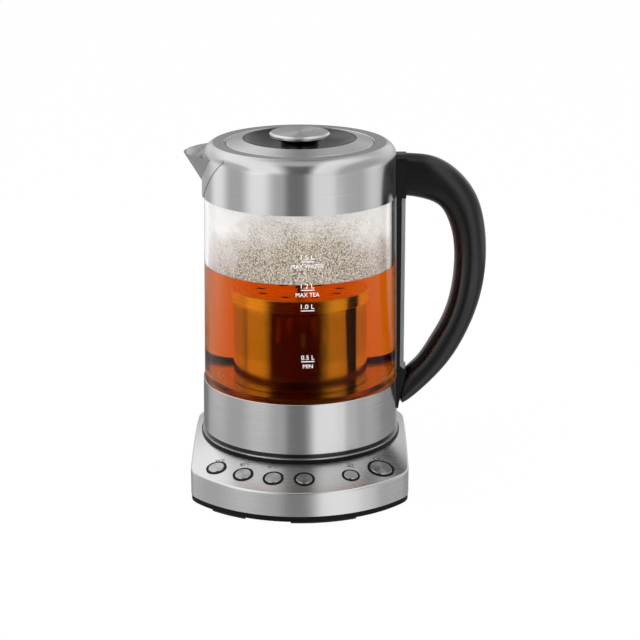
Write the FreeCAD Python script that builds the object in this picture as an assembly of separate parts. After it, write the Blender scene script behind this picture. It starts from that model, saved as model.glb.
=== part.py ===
import FreeCAD, Part
import math
import os

from FreeCAD import Placement, Rotation, Vector

# Automatic tea maker: a glass jug that stands on a powered base with six buttons.
# Millimetres. +Z is up, +X points to the handle, -X to the spout and -Y to the buttons.
# The origin is on the jug's axis, on the surface that the feet stand on.

# Main radii: the base's seat and outline keep their margins round the jug
jug_radius = 72.0
seat_margin = 1.5
panel_reach = 33.3
side_margin = 5.0
back_margin = 10.5
front_arc_margin = 16.5
seat_radius = jug_radius + seat_margin
front_reach = seat_radius + panel_reach
base_half_width = seat_radius + side_margin
base_back = seat_radius + back_margin
front_arc_radius = base_half_width + front_arc_margin

# Base: corners and heights
front_corner_radius = 20.0
back_corner_radius = 42.0
foot_height = 1.2
tray_rim_height = 4.0
front_wall_height = 17.4
panel_slope = 15.7
base_sheet = 1.0
panel_edge_round = 1.4
tray_floor = 2.0
pan_drop = 0.3
pan_gap = 3.0
tray_wall = 2.0
tray_wall_height = 7.0

# Feet of the base: the front ones as spans of x under the rim
foot_inset = 0.8
foot_depth = 7.0
front_feet = [(-62.0, -38.0), (-6.0, 40.0)]
back_foot_radius = 7.0
back_foot_from_side = 26.0
back_foot_from_back = 24.0

# Seat of the jug in the base
seat_lip_width = 0.9
seat_collar_rise = 2.7
seat_collar_width = 3.5
seat_floor_drop = 1.6
seat_floor = 2.0
trim_height = 0.9
trim_width = 2.6

# Power connector between base and jug
plug_radius = 14.0
plug_rise = 10.0
plug_flange_radius = 19.0
plug_flange = 2.0
plug_depth = 17.0
slot_depth = 4.0
slot_inner_radius = 8.4
slot_outer_radius = 11.6
contact_sheet = 0.5
contact_width = 5.0
earth_pin_radius = 1.8
earth_bore_radius = 3.4
socket_play = 0.6
socket_floor_gap = 3.2
blade_reach = 1.5
socket_wall = 5.4
socket_roof = 2.4
socket_flange = 4.0
socket_flange_thickness = 2.0

# Buttons: angle from the front (positive towards the handle), cap radius and black ring radius
small_cap = 5.85
small_ring = 7.5
keep_cap = 5.1
keep_ring = 6.45
power_cap = 8.1
power_ring = 9.8
buttons = {
    "button_1": (-41.1, small_cap, small_ring),
    "button_2": (-26.2, small_cap, small_ring),
    "button_3": (-11.8, small_cap, small_ring),
    "button_4": (2.2, small_cap, small_ring),
    "button_5": (23.7, keep_cap, keep_ring),
    "button_6": (39.9, power_cap, power_ring),
}
button_offset = 0.45
button_circle = (seat_radius + front_reach) / 2 + button_offset
button_proud = 0.8
button_cap_height = 1.8
button_travel = 0.6
plunger_length = 9.0
plunger_stem_radius = 2.4
plunger_flange = 1.0
bezel_rise = 0.5
bezel_depth = 4.0
bezel_tube = 0.9

# Boards in the base
board_thickness = 1.6
control_board_width = 17.0
switch_side = 6.0
switch_body = 3.4
switch_actuator_radius = 1.6
switch_actuator = 1.4
switch_play = 0.1
control_board_half_angle = 48.0
control_post_angles = [-33.5, -4.8, 31.5]
board_post_radius = 3.0
board_post_inset = 6.0
power_board_from_back = 44.0
power_board_y = base_back - power_board_from_back
power_board_width = 34.0
power_board_lift = 5.0
transformer_size = (30.0, 24.0, 15.0)
relay_size = (20.0, 12.0, 14.0)
board_gap = 2.95
board_part_inset = 16.0

# Jug: outside
jug_taper = 0.0115
band_foot_gap = 0.1
lower_band_height = 37.3
glass_show = 137.0
collar_side = 27.9
shoulder_height = 10.2
crease_inset = 9.6
rim_width = 8.8
crease_radius = jug_radius - crease_inset
mouth_radius = crease_radius - rim_width
neck_depth = 12.5
jug_sheet = 0.7
glass_wall = 2.6
glass_in_band = 9.5
glass_in_collar = 6.4

# Jug: floor and heater
floor_below_band = 3.8
plateau_rise = 2.5
plate_sheet = 0.8
plate_inset = 6.0
plate_ring_width = 16.0
plate_radius = jug_radius - plate_inset
plateau_radius = plate_radius - plate_ring_width
plate_rim = 11.0
seal_thickness = 5.0
diffuser_thickness = 3.0
element_inset = 12.0
element_tube = 3.4
element_gap_angle = 50.0
element_pin_radius = 1.6
element_pin_length = 14.0
sensor_radius = 4.0
sensor_length = 8.0
cutout_radius = 7.0
cutout_height = 5.0
cutout_beside_element = 16.0

# Jug: underside
skirt_inset = 0.8
jug_skirt_height = 2.4
under_disc = 2.0
foot_ring_inset = 5.0
foot_ring_width = 6.0

# Spout: distance behind its tip and half width there, along its rim; its seam on the collar
spout_tip_beyond = 11.7
spout_tip_drop = 6.9
spout_plan = [(0.6, 2.6), (2.2, 8.0), (5.7, 16.4), (10.4, 22.9), (15.8, 27.8), (20.8, 31.1), (30.0, 35.5)]
spout_depth_rate = 1.64
spout_section = [(1.0, 0.0), (0.84, -0.33), (0.38, -0.85), (0.0, -1.0)]
spout_sheet = 1.0
spout_lap = 0.6
spout_seam_margin = 27.6
spout_seam_rise = 2.2
spout_seam_slope = 1.0
spout_seam_corner = 2.6
window_half_width = 20.0
window_height = 13.0
window_above_glass = 5.0
filter_sheet = 0.7
filter_margin = 4.0
filter_hole_radius = 1.3
filter_rows = 3
filter_columns = 9

# Handle: paired points on the inner and outer outline, and the half width there. A point is its
# distance beyond the jug's radius and its share of the jug's height
grip_outline = [
    ((4.5, 0.8142), (4.5, 0.9606), 11.5),
    ((16.0, 0.8062), (18.0, 0.9554), 12.0),
    ((26.0, 0.7893), (34.0, 0.9281), 12.5),
    ((33.0, 0.7540), (48.5, 0.8669), 13.0),
    ((37.3, 0.7045), (57.5, 0.7940), 13.3),
    ((40.3, 0.5868), (63.4, 0.6104), 13.5),
    ((35.1, 0.4220), (57.0, 0.4150), 13.2),
    ((29.0, 0.3538), (49.5, 0.3255), 12.8),
    ((21.0, 0.2879), (39.5, 0.2408), 12.2),
    ((13.5, 0.2361), (27.5, 0.1702), 11.5),
    ((6.2, 0.2008), (14.5, 0.1090), 10.5),
    ((1.6, 0.1042), (3.6, 0.0740), 8.5),
]
grip_wall = 2.6
grip_seam_share = 0.34
strap_half_width = 10.5
strap_beyond = 1.3
strap_tip_rise = 13.8
strap_trim_thickness = 2.8
strap_trim_inset = 0.8
bracket_round = 6.0
handle_screw_radius = 1.9
handle_top_screw_length = 12.0
handle_low_screw_length = 8.0
handle_head_radius = 3.2
handle_head_height = 1.4
handle_top_screw_height = 17.0
handle_top_screw_spacing = 12.0
handle_low_screw_height = 18.0

# Lid
lid_gap = 0.5
lid_ring_width = 12.1
lid_ring_rise = 2.8
lid_sheet = 0.8
dish_depth = 5.2
dish_flat_radius = 20.0
dish_wall = 1.8
plug_wall = 2.0
seal_height = 3.0
knob_radius = 21.7
knob_height = 3.2
knob_chamfer = 1.3
knob_flange_radius = 18.0
knob_neck_radius = 14.0
knob_top_above_collar = 7.2

# Tea basket
basket_radius = 36.2
basket_sheet = 0.6
basket_lid_overhang = 1.3
basket_lid_radius = basket_radius + basket_lid_overhang
basket_lid_skirt = 9.0
basket_height = 69.4
basket_foot_height = 3.0
basket_foot_width = 3.2
basket_hole_radius = 0.8
basket_hole_rows = 6
basket_holes_per_row = 32
basket_holes_low = 24.0
basket_holes_high = 56.0
basket_lid_holes = 8
basket_lid_hole_radius = 2.5
basket_lid_hole_circle = 22.5
basket_knob_radius = 4.6
basket_knob_height = 6.0

# Cord gland in the back wall
gland_rise = 9.0
gland_bore = 3.6
gland_radius = 6.5
gland_flange_radius = 8.5
gland_length = 12.0
gland_flange = 1.5

# Screws of the base
screw_radius = 1.5
screw_head_radius = 3.0
screw_head_height = 1.4
screw_length = 12.0
boss_radius = 4.2
boss_inset = 13.5
boss_angle = 35.0
boss_angles = [boss_angle, 180 - boss_angle, 180 + boss_angle, 360 - boss_angle]

# Clearances
seat_gap = 0.3
slide_gap = 0.3
fit_gap = 0.2
screw_gap = 0.05

# Heights and radii that follow from the sizes above
slope_rate = math.tan(math.radians(panel_slope))
cover_low = foot_height + tray_rim_height
seat_top = cover_low + front_wall_height + (front_reach - seat_radius) * slope_rate
seat_hole = seat_radius - seat_lip_width
collar_rim = seat_top + seat_collar_rise
collar_inner = seat_radius - seat_collar_width
floor_top = collar_rim - seat_floor_drop
floor_low = floor_top - seat_floor
trim_top = collar_rim + trim_height
skirt_low = trim_top + seat_gap
jug_bottom = skirt_low + jug_skirt_height + band_foot_gap
band_top = jug_bottom + lower_band_height
glass_edge = band_top + glass_show
shoulder_low = glass_edge + collar_side
jug_top = shoulder_low + shoulder_height
jug_floor = band_top - floor_below_band
plateau_top = jug_floor + plateau_rise
plateau_under = plateau_top - plate_sheet
glass_low = band_top - glass_in_band
glass_high = glass_edge + glass_in_collar
disc_top = skirt_low + jug_skirt_height
disc_low = disc_top - under_disc
plug_top = floor_top + plug_rise
board_z = foot_height + tray_floor + power_board_lift
lid_ring_outer = mouth_radius - lid_gap
lid_ring_inner = lid_ring_outer - lid_ring_width
element_radius = plateau_radius - element_inset
cutout_offset = element_radius - cutout_beside_element
jug_skirt_radius = jug_radius - skirt_inset
foot_ring_outer = jug_radius - foot_ring_inset
strap_outer = jug_radius + strap_beyond
strap_tip = jug_bottom + strap_tip_rise
spout_tip_reach = jug_radius + spout_tip_beyond
spout_rim = jug_top - spout_tip_drop
boss_circle = seat_radius - boss_inset
power_board_length = 2 * (boss_circle * math.cos(math.radians(boss_angle)) - boss_radius - board_gap)
board_part_offset = power_board_length / 2 - board_part_inset
slot_floor = floor_low - slot_depth
gland_z = cover_low + gland_rise
basket_low = plateau_top + slide_gap
window_low = glass_high + window_above_glass
handle_top_z = glass_edge + handle_top_screw_height
handle_top_screws = [(-handle_top_screw_spacing / 2, handle_top_z), (handle_top_screw_spacing / 2, handle_top_z)]
handle_low_screws = [(0.0, jug_bottom + handle_low_screw_height)]


def outline_point(point):
    """Place (x, height) of a point of the grip's outline."""
    beyond, share = point
    return jug_radius + beyond, jug_bottom + share * (jug_top - jug_bottom)


grip_stations = [(outline_point(inner), outline_point(outer), half) for inner, outer, half in grip_outline]

# Control board: under the plungers' lower ends, with room for the switches and the travel
plunger_out = plunger_length * math.sin(math.radians(panel_slope))
plunger_down = plunger_length * math.cos(math.radians(panel_slope))
control_board_mid = button_circle - plunger_out
switch_top = seat_top - (button_circle - seat_radius) * slope_rate - plunger_down
switch_top -= button_travel + switch_play + switch_actuator_radius * slope_rate
control_board_low = switch_top - switch_actuator - switch_body - board_thickness


def panel_z(radius):
    """Height of the panel's top face at a distance from the jug's axis."""
    return seat_top - (radius - seat_radius) * slope_rate


def jug_r(z):
    """Outer radius of the jug's steel at a height: the jug narrows a little upwards."""
    return jug_radius - jug_taper * (z - jug_bottom)


def glass_r(z):
    """Outer radius of the glass at a height: it slides into the steel at both ends."""
    return jug_r(z) - jug_sheet - fit_gap


def flat_wire(steps, to_point):
    """Closed wire through the steps: a pair is a point, a pair of pairs is an arc's middle and end."""
    ends = [step[-1] if isinstance(step[0], tuple) else step for step in steps]
    edges = []
    for index, step in enumerate(steps):
        start = to_point(*ends[index - 1])
        end = to_point(*ends[index])
        if isinstance(step[0], tuple):
            edges.append(Part.Arc(start, to_point(*step[0]), end).toShape())
        else:
            edges.append(Part.LineSegment(start, end).toShape())
    return Part.Wire(edges)


def turned(*steps):
    """Solid of revolution about Z from a profile of (radius, height) steps."""
    wire = flat_wire(steps, lambda radius, z: Vector(radius, 0, z))
    return Part.Face(wire).revolve(Vector(0, 0, 0), Vector(0, 0, 1), 360)


def side_slab(steps, half_width):
    """Solid of a profile of (x, height) steps, as wide on both sides of the XZ plane."""
    wire = flat_wire(steps, lambda x, z: Vector(x, -half_width, z))
    return Part.Face(wire).extrude(Vector(0, 2 * half_width, 0))


def disc(radius, low, high, x=0.0, y=0.0):
    """Upright cylinder between two heights."""
    return Part.makeCylinder(radius, high - low, Vector(x, y, low))


def ring(inner, outer, low, high):
    """Flat ring between two heights."""
    return disc(outer, low, high).cut(disc(inner, low - 1, high + 1))


def block(size_x, size_y, low, high, x=0.0, y=0.0):
    """Upright box between two heights, centred on a point."""
    return Part.makeBox(size_x, size_y, high - low, Vector(x - size_x / 2, y - size_y / 2, low))


def turned_copy(shape, angle):
    """Copy of a shape, turned about Z by an angle in degrees."""
    copy = shape.copy()
    copy.rotate(Vector(0, 0, 0), Vector(0, 0, 1), angle)
    return copy


def plan_wire(z, inset):
    """Plan outline of the base at a height, drawn in by an inset."""
    centre_y = front_arc_radius - front_reach
    corner_x = base_half_width - front_corner_radius
    spread = front_arc_radius - front_corner_radius
    corner_y = centre_y - math.sqrt(spread ** 2 - corner_x ** 2)
    lean_x = corner_x / spread
    lean_y = (corner_y - centre_y) / spread
    front_r = front_corner_radius - inset
    back_r = back_corner_radius - inset
    back_x = base_half_width - back_corner_radius
    back_y = base_back - back_corner_radius
    side = base_half_width - inset
    touch = (corner_x + front_r * lean_x, corner_y + front_r * lean_y)
    half_turn = (math.atan2(lean_y, lean_x)) / 2
    corner_mid = (corner_x + front_r * math.cos(half_turn), corner_y + front_r * math.sin(half_turn))
    back_mid = (back_x + back_r * math.sqrt(0.5), back_y + back_r * math.sqrt(0.5))
    steps = [
        (-touch[0], touch[1]),
        ((0.0, inset - front_reach), touch),
        (corner_mid, (side, corner_y)),
        (side, back_y),
        (back_mid, (back_x, base_back - inset)),
        (-back_x, base_back - inset),
        ((-back_mid[0], back_mid[1]), (-side, back_y)),
        (-side, corner_y),
    ]
    steps[0] = ((-corner_mid[0], corner_mid[1]), steps[0])
    return flat_wire(steps, lambda x, y: Vector(x, y, z))


def plan_solid(low, high, inset):
    """Upright solid of the base's plan outline between two heights."""
    return Part.Face(plan_wire(low, inset)).extrude(Vector(0, 0, high - low))


def under_panel(low, drop):
    """Everything under the conical panel, lowered by a drop, and above a height."""
    reach = front_reach + 12.0
    return turned((0, low), (reach, low), (reach, panel_z(reach) - drop), (0, panel_z(0) - drop))


def panel_frame(angle):
    """Placement on the panel at a button: local Z is the panel's normal, local -Y points down the slope."""
    turn = Rotation(Vector(0, 0, 1), angle)
    tilt = Rotation(Vector(1, 0, 0), panel_slope)
    seat = turn.multVec(Vector(0, -button_circle, panel_z(button_circle)))
    return Placement(seat, turn.multiply(tilt))


def on_panel(shape, angle):
    """Copy of a shape drawn at the origin, set on the panel at an angle from the front."""
    copy = shape.copy()
    copy.Placement = panel_frame(angle).multiply(copy.Placement)
    return copy


def base_cover():
    """Steel cover of the base: a sheet with a conical panel, a rolled edge and upright sides."""
    outer = plan_solid(cover_low, seat_top + 5, 0).common(under_panel(cover_low, 0))
    rim = [edge for edge in outer.Edges if edge.BoundBox.ZMin > cover_low + 5 and edge.Length > 1
           and not is_upright(edge)]
    outer = outer.makeFillet(panel_edge_round, rim)
    drop = base_sheet / math.cos(math.radians(panel_slope))
    inner = plan_solid(cover_low - 1, seat_top + 5, base_sheet).common(under_panel(cover_low - 1, drop))
    cover = outer.cut(inner).cut(disc(seat_hole, 0, seat_top + 20))
    for angle, cap, ring_radius in buttons.values():
        hole = cap + slide_gap + bezel_tube + fit_gap
        cover = cover.cut(on_panel(disc(hole, -6, 6), angle))
    gland_hole = Part.makeCylinder(gland_radius + fit_gap, 10, Vector(0, base_back - 5, gland_z), Vector(0, 1, 0))
    return cover.cut(gland_hole)


def is_upright(edge):
    """True for an edge whose two ends lie one above the other."""
    first = edge.Vertexes[0].Point
    last = edge.Vertexes[-1].Point
    return len(edge.Vertexes) > 1 and math.hypot(first.x - last.x, first.y - last.y) < 0.01


def base_tray():
    """Black tray under the base: a floor with a rim, and a wall inside the steel cover."""
    inset = base_sheet + fit_gap
    floor_z = foot_height + tray_floor
    rim = plan_solid(foot_height, cover_low, 0.4)
    wall = plan_solid(cover_low, cover_low + tray_wall_height, inset)
    hollow = plan_solid(floor_z, cover_low + tray_wall_height + 1, inset + tray_wall)
    pan = disc(boss_circle - screw_head_radius - pan_gap, foot_height - pan_drop, floor_z)
    tray = rim.fuse(wall).cut(hollow).fuse(pan)
    for angle in boss_angles:
        x, y = boss_place(angle)
        tray = tray.cut(disc(screw_radius + fit_gap, 0, floor_z + 1, x, y))
        tray = tray.cut(disc(screw_head_radius + fit_gap, 0, foot_height + screw_head_height, x, y))
    for x, y in board_posts():
        tray = tray.fuse(disc(board_post_radius, floor_z, board_z, x, y))
    for angle in control_post_angles:
        post = disc(board_post_radius, floor_z, control_board_low, 0, -control_board_mid)
        tray = tray.fuse(turned_copy(post, angle))
    gland_hole = Part.makeCylinder(gland_radius + fit_gap, 12, Vector(0, base_back - 9, gland_z), Vector(0, 1, 0))
    return tray.cut(gland_hole).removeSplitter()


def boss_place(angle):
    """Plan position of a screw boss."""
    return boss_circle * math.cos(math.radians(angle)), boss_circle * math.sin(math.radians(angle))


def board_posts():
    """Plan positions of the posts under the power board."""
    half_x = power_board_length / 2 - board_post_inset
    half_y = power_board_width / 2 - board_post_inset
    return [(sx * half_x, power_board_y + sy * half_y) for sx in (-1, 1) for sy in (-1, 1)]


def feet():
    """Four rubber feet: two long ones under the front rim and two round ones at the back."""
    band = plan_solid(0, foot_height, foot_inset)
    band = band.cut(plan_solid(-1, foot_height + 1, foot_inset + foot_depth))
    front = []
    deep = front_reach + foot_depth
    for low_x, high_x in front_feet:
        window = Part.makeBox(high_x - low_x, deep, 3 * foot_height, Vector(low_x, -deep, -foot_height))
        front.append(band.common(window))
    back_x = base_half_width - back_foot_from_side
    back_y = base_back - back_foot_from_back
    back = [disc(back_foot_radius, 0, foot_height, side * back_x, back_y) for side in (-1, 1)]
    return Part.makeCompound(front + back)


def seat_dish():
    """Black seat in the panel's hole: a dish with a collar, a lip over the steel and screw bosses."""
    lip_low = panel_z(seat_hole) + 0.05
    dish = turned(
        (plug_radius + fit_gap, floor_low),
        (seat_hole - fit_gap, floor_low),
        (seat_hole - fit_gap, lip_low),
        (seat_radius, lip_low),
        (seat_radius, collar_rim),
        (collar_inner, collar_rim),
        (collar_inner, floor_top),
        (plug_radius + fit_gap, floor_top),
    )
    boss_low = foot_height + tray_floor
    for angle in boss_angles:
        x, y = boss_place(angle)
        boss = disc(boss_radius, boss_low, floor_low, x, y)
        pilot = disc(screw_radius + screw_gap, boss_low - 1, boss_low + screw_length, x, y)
        dish = dish.fuse(boss).cut(pilot)
    return dish.removeSplitter()


def seat_trim():
    """Bright steel ring on the seat's collar."""
    outer = seat_radius - 0.6
    return ring(outer - trim_width, outer, collar_rim, trim_top)


def power_plug():
    """Round plug in the middle of the seat, with a ring slot and a bore for the contacts."""
    body = disc(plug_radius, floor_low - plug_flange, plug_top)
    body = body.fuse(disc(plug_flange_radius, floor_low - plug_flange, floor_low))
    body = body.fuse(disc(plug_radius - 2, floor_low - plug_depth, floor_low))
    slot = ring(slot_inner_radius, slot_outer_radius, slot_floor, plug_top + 1)
    bore = disc(earth_bore_radius, slot_floor, plug_top + 1)
    pin_hole = disc(earth_pin_radius + screw_gap, floor_low - plug_depth - 1, plug_top)
    body = body.cut(slot).cut(bore).cut(pin_hole)
    edge = [e for e in body.Edges if abs(e.BoundBox.ZMin - plug_top) < 0.01 and e.BoundBox.XMax > plug_radius - 0.1]
    return body.makeChamfer(1.0, edge)


def plug_contacts():
    """Two ring contacts in the plug's slot and the earth pin in its bore."""
    top = plug_top - 2
    outer = ring(slot_outer_radius - contact_sheet, slot_outer_radius, slot_floor, top)
    inner = ring(slot_inner_radius, slot_inner_radius + contact_sheet, slot_floor, top)
    pin = disc(earth_pin_radius, floor_low - plug_depth, top)
    return Part.makeCompound([outer, inner, pin])


def jug_socket():
    """Round socket under the jug that drops over the plug."""
    inner = plug_radius + socket_play
    outer = inner + socket_wall
    low = floor_top + socket_floor_gap
    roof_low = plug_top + slide_gap
    flange_low = disc_top + slide_gap
    return turned(
        (inner, low),
        (outer, low),
        (outer, flange_low),
        (outer + socket_flange, flange_low),
        (outer + socket_flange, flange_low + socket_flange_thickness),
        (outer, flange_low + socket_flange_thickness),
        (outer, roof_low + socket_roof),
        (0, roof_low + socket_roof),
        (0, roof_low),
        (inner, roof_low),
    )


def socket_contacts():
    """Two contact blades that hang in the plug's slot, and the earth sleeve round its pin."""
    middle = (slot_inner_radius + slot_outer_radius) / 2
    roof = plug_top + slide_gap
    band = ring(middle - contact_sheet, middle + contact_sheet, slot_floor + blade_reach, roof)
    halves = [block(2 * middle, contact_width, slot_floor, roof, side * middle, 0) for side in (-1, 1)]
    blades = [band.common(half) for half in halves]
    sleeve = ring(earth_pin_radius + 0.4, earth_bore_radius - 0.4, slot_floor + blade_reach, roof)
    return Part.makeCompound(blades + [sleeve])


def bezels():
    """Black rings round the buttons, each with a guide tube through the panel."""
    rings = []
    for angle, cap, ring_radius in buttons.values():
        bore = cap + slide_gap
        body = turned(
            (bore, -bezel_depth),
            (bore + bezel_tube, -bezel_depth),
            (bore + bezel_tube, 0.1),
            (ring_radius, 0.1),
            (ring_radius, bezel_rise),
            (bore, bezel_rise),
        )
        rings.append(on_panel(body, angle))
    return Part.makeCompound(rings)


def button_cap(angle, cap):
    """Steel cap of a button, with a small chamfer round its face."""
    face = button_proud
    chamfer = 0.35
    body = turned(
        (0, face - button_cap_height),
        (cap, face - button_cap_height),
        (cap, face - chamfer),
        (cap - chamfer, face),
        (0, face),
    )
    return on_panel(body, angle)


def button_plunger(angle, cap):
    """Plastic plunger under a cap: a head, a stop flange below the bezel and a stem to the switch."""
    head_high = button_proud - button_cap_height
    flange_high = -bezel_depth - slide_gap
    flange_radius = cap + slide_gap + bezel_tube
    body = turned(
        (0, -plunger_length),
        (plunger_stem_radius, -plunger_length),
        (plunger_stem_radius, flange_high - plunger_flange),
        (flange_radius, flange_high - plunger_flange),
        (flange_radius, flange_high),
        (cap - fit_gap, flange_high),
        (cap - fit_gap, head_high),
        (0, head_high),
    )
    return on_panel(body, angle)


def plunger_end(angle):
    """Lowest point on the axis of a plunger."""
    return panel_frame(angle).multVec(Vector(0, 0, -plunger_length))


def control_board():
    """Board under the buttons: a flat ring sector on the tray's posts."""
    inner = control_board_mid - control_board_width / 2
    outer = control_board_mid + control_board_width / 2
    board = ring(inner, outer, control_board_low, control_board_low + board_thickness)
    below = Vector(0, 0, control_board_low - board_thickness)
    sector = Part.makeCylinder(2 * outer, 3 * board_thickness, below, Vector(0, 0, 1),
                               2 * control_board_half_angle)
    sector = turned_copy(sector, -90 - control_board_half_angle)
    return board.common(sector)


def switches():
    """Six push switches on the control board, one under each plunger."""
    low = control_board_low + board_thickness
    group = []
    for angle, cap, ring_radius in buttons.values():
        end = plunger_end(angle)
        body = block(switch_side, switch_side, low, low + switch_body, 0, -math.hypot(end.x, end.y))
        actuator = disc(switch_actuator_radius, low + switch_body, low + switch_body + switch_actuator,
                        0, -math.hypot(end.x, end.y))
        group.append(turned_copy(body.fuse(actuator), angle))
    return Part.makeCompound(group)


def power_board():
    """Power board at the back of the base."""
    return block(power_board_length, power_board_width, board_z, board_z + board_thickness, 0, power_board_y)


def transformer():
    """Transformer on the power board: a core with a coil round its middle leg."""
    size_x, size_y, height = transformer_size
    low = board_z + board_thickness
    core = block(size_x, size_y - 8, low, low + height, -board_part_offset, power_board_y)
    coil = block(size_x - 12, size_y, low + 1, low + height - 1, -board_part_offset, power_board_y)
    return core.fuse(coil).removeSplitter()


def relay():
    """Relay on the power board."""
    size_x, size_y, height = relay_size
    low = board_z + board_thickness
    body = block(size_x, size_y, low, low + height, board_part_offset, power_board_y)
    return body.makeChamfer(0.8, [e for e in body.Edges if is_upright(e)])


def cord_gland():
    """Gland in the back wall, with the bore that a power cord would pass through."""
    start = base_back + gland_flange
    axis = Vector(0, -1, 0)
    flange = Part.makeCylinder(gland_flange_radius, gland_flange, Vector(0, start, gland_z), axis)
    tube = Part.makeCylinder(gland_radius, gland_length, Vector(0, start, gland_z), axis)
    bore = Part.makeCylinder(gland_bore, gland_length + 2, Vector(0, start + 1, gland_z), axis)
    return flange.fuse(tube).cut(bore).removeSplitter()


def base_screws():
    """Four screws from the tray's underside into the seat's bosses."""
    low = foot_height + 0.3
    head = disc(screw_head_radius, low, foot_height + screw_head_height)
    shank = disc(screw_radius, low, foot_height + tray_floor + screw_length - 2)
    screw = head.fuse(shank).cut(block(4, 0.8, 0, low + 0.6))
    group = []
    for angle in boss_angles:
        x, y = boss_place(angle)
        copy = screw.copy()
        copy.translate(Vector(x, y, 0))
        group.append(copy)
    return Part.makeCompound(group)


def jug_glass():
    """Glass wall of the jug."""
    return turned(
        (glass_r(glass_low) - glass_wall, glass_low),
        (glass_r(glass_low), glass_low),
        (glass_r(glass_high), glass_high),
        (glass_r(glass_high) - glass_wall, glass_high),
    )


def lower_band():
    """Steel band round the foot of the jug."""
    band = turned(
        (jug_r(jug_bottom) - jug_sheet, jug_bottom),
        (jug_r(jug_bottom) - 0.3, jug_bottom),
        (jug_r(jug_bottom + 0.3), jug_bottom + 0.3),
        (jug_r(band_top - 0.3), band_top - 0.3),
        (jug_r(band_top) - 0.3, band_top),
        (jug_r(band_top) - jug_sheet, band_top),
    )
    return band.cut(handle_screw_holes(handle_low_screws, handle_screw_radius + fit_gap))


def collar_profile(inset):
    """Steps of the collar's outside, drawn in by an inset: the upright side, then an arc that
    starts upright and ends at the crease with the flat ring."""
    side = jug_r(shoulder_low)
    width = side - crease_radius
    radius = (width ** 2 + shoulder_height ** 2) / (2 * width)
    centre = side - radius
    end_angle = math.asin((shoulder_height - inset) / (radius - inset))
    steps = [(centre + (radius - inset) * math.cos(turn), shoulder_low + (radius - inset) * math.sin(turn))
             for turn in (end_angle / 2, end_angle)]
    return (jug_r(glass_edge) - inset, glass_edge), (side - inset, shoulder_low), (steps[0], steps[1])


def collar_outside():
    """Solid space inside the outer face of the collar."""
    return turned((0, glass_edge), *collar_profile(0), (0, jug_top))


def collar():
    """Steel collar of the jug: upright side, round shoulder, flat ring and neck for the lid."""
    outer_low, outer_side, outer_shoulder = collar_profile(0)
    inner_low, inner_side, inner_shoulder = collar_profile(jug_sheet)
    neck = mouth_radius + jug_sheet
    shell = turned(
        inner_low,
        outer_low,
        outer_side,
        outer_shoulder,
        (mouth_radius + 0.4, jug_top),
        (mouth_radius, jug_top - 0.4),
        (mouth_radius, jug_top - neck_depth),
        (neck, jug_top - neck_depth),
        (neck, jug_top - jug_sheet),
        inner_shoulder[1],
        (inner_shoulder[0], inner_side),
    )
    window = Part.makeBox(20, 2 * window_half_width, window_height,
                          Vector(-jug_radius - 5, -window_half_width, window_low))
    return shell.cut(window).cut(handle_screw_holes(handle_top_screws, handle_screw_radius + fit_gap))


def spout_loft(margin, drop, lift):
    """Trough through the sections of the spout, drawn in by a margin, raised at its bottom by a drop
    and carried up above its rim by a lift."""
    wires = []
    for run, half_width in spout_plan:
        x = run - spout_tip_reach
        half = half_width - margin
        deep = spout_depth_rate * run - drop
        if deep <= 0:
            continue
        side = [(across * half, down * deep) for across, down in spout_section]
        right = [Vector(x, y, spout_rim + z) for y, z in side]
        left = [Vector(x, -y, spout_rim + z) for y, z in reversed(side)]
        edges = []
        for poles in (right, left):
            curve = Part.BezierCurve()
            curve.setPoles(poles)
            edges.append(curve.toShape())
        corners = [left[-1], right[0]]
        if lift:
            corners = [left[-1], left[-1] + Vector(0, 0, lift), right[0] + Vector(0, 0, lift), right[0]]
        edges += [Part.LineSegment(a, b).toShape() for a, b in zip(corners, corners[1:])]
        wires.append(Part.Wire(edges))
    return Part.makeLoft(wires, True, False)


def spout_flange():
    """Plate that laps over the collar beside and below the trough, within a V-shaped seam."""
    shell = turned((0, glass_edge), *collar_profile(-spout_lap), (0, jug_top + spout_lap)).cut(collar_outside())
    half = jug_radius - spout_seam_margin
    corner = spout_rim + spout_seam_rise
    tip = spout_rim - half * spout_seam_slope
    seam = [(half, spout_rim), (half, corner), (-half, corner), (-half, spout_rim), (0.0, tip)]
    wire = flat_wire(seam, lambda y, z: Vector(-spout_tip_reach, y, z))
    slab = Part.Face(wire).extrude(Vector(spout_tip_reach, 0, 0))
    sharp = [e for e in slab.Edges if e.BoundBox.YLength < 0.01 and e.BoundBox.ZLength < 0.01
             and abs(e.BoundBox.YMax) > 1]
    return shell.common(slab.makeFillet(spout_seam_corner / 2, sharp))


def spout():
    """Pouring lip of folded sheet: a trough with a round nose, and its flange on the collar."""
    rise = spout_sheet * math.hypot(1, spout_depth_rate)
    cavity = spout_loft(spout_sheet, rise, knob_top_above_collar + spout_tip_drop)
    trough = spout_loft(0, 0, 0).cut(collar_outside()).cut(disc(jug_radius, floor_top, glass_edge))
    return trough.fuse(spout_flange()).cut(cavity).removeSplitter()


def spout_filter():
    """Strainer inside the collar, behind its pouring window."""
    low = window_low - 1.4
    high = window_low + window_height + 1.4
    outer = jug_r(high) - jug_sheet - 0.3
    plate = ring(outer - filter_sheet, outer, low, high)
    plate = plate.common(block(outer, 2 * (window_half_width + filter_margin), low, high, -outer, 0))
    step_z = (high - low) / (filter_rows + 1)
    step_y = 2 * window_half_width / (filter_columns + 1)
    holes = []
    for row in range(filter_rows):
        for column in range(filter_columns):
            place = Vector(-outer - 10, (column + 1) * step_y - window_half_width, low + (row + 1) * step_z)
            holes.append(Part.makeCylinder(filter_hole_radius, 20, place, Vector(1, 0, 0)))
    return plate.cut(Part.makeCompound(holes))


def upper_seal():
    """Silicone ring between the glass and the collar."""
    outer = jug_r(glass_high) - jug_sheet - 0.1
    inner = glass_r(glass_high) - glass_wall
    return ring(inner, outer, glass_high, glass_high + 2.4)


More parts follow.
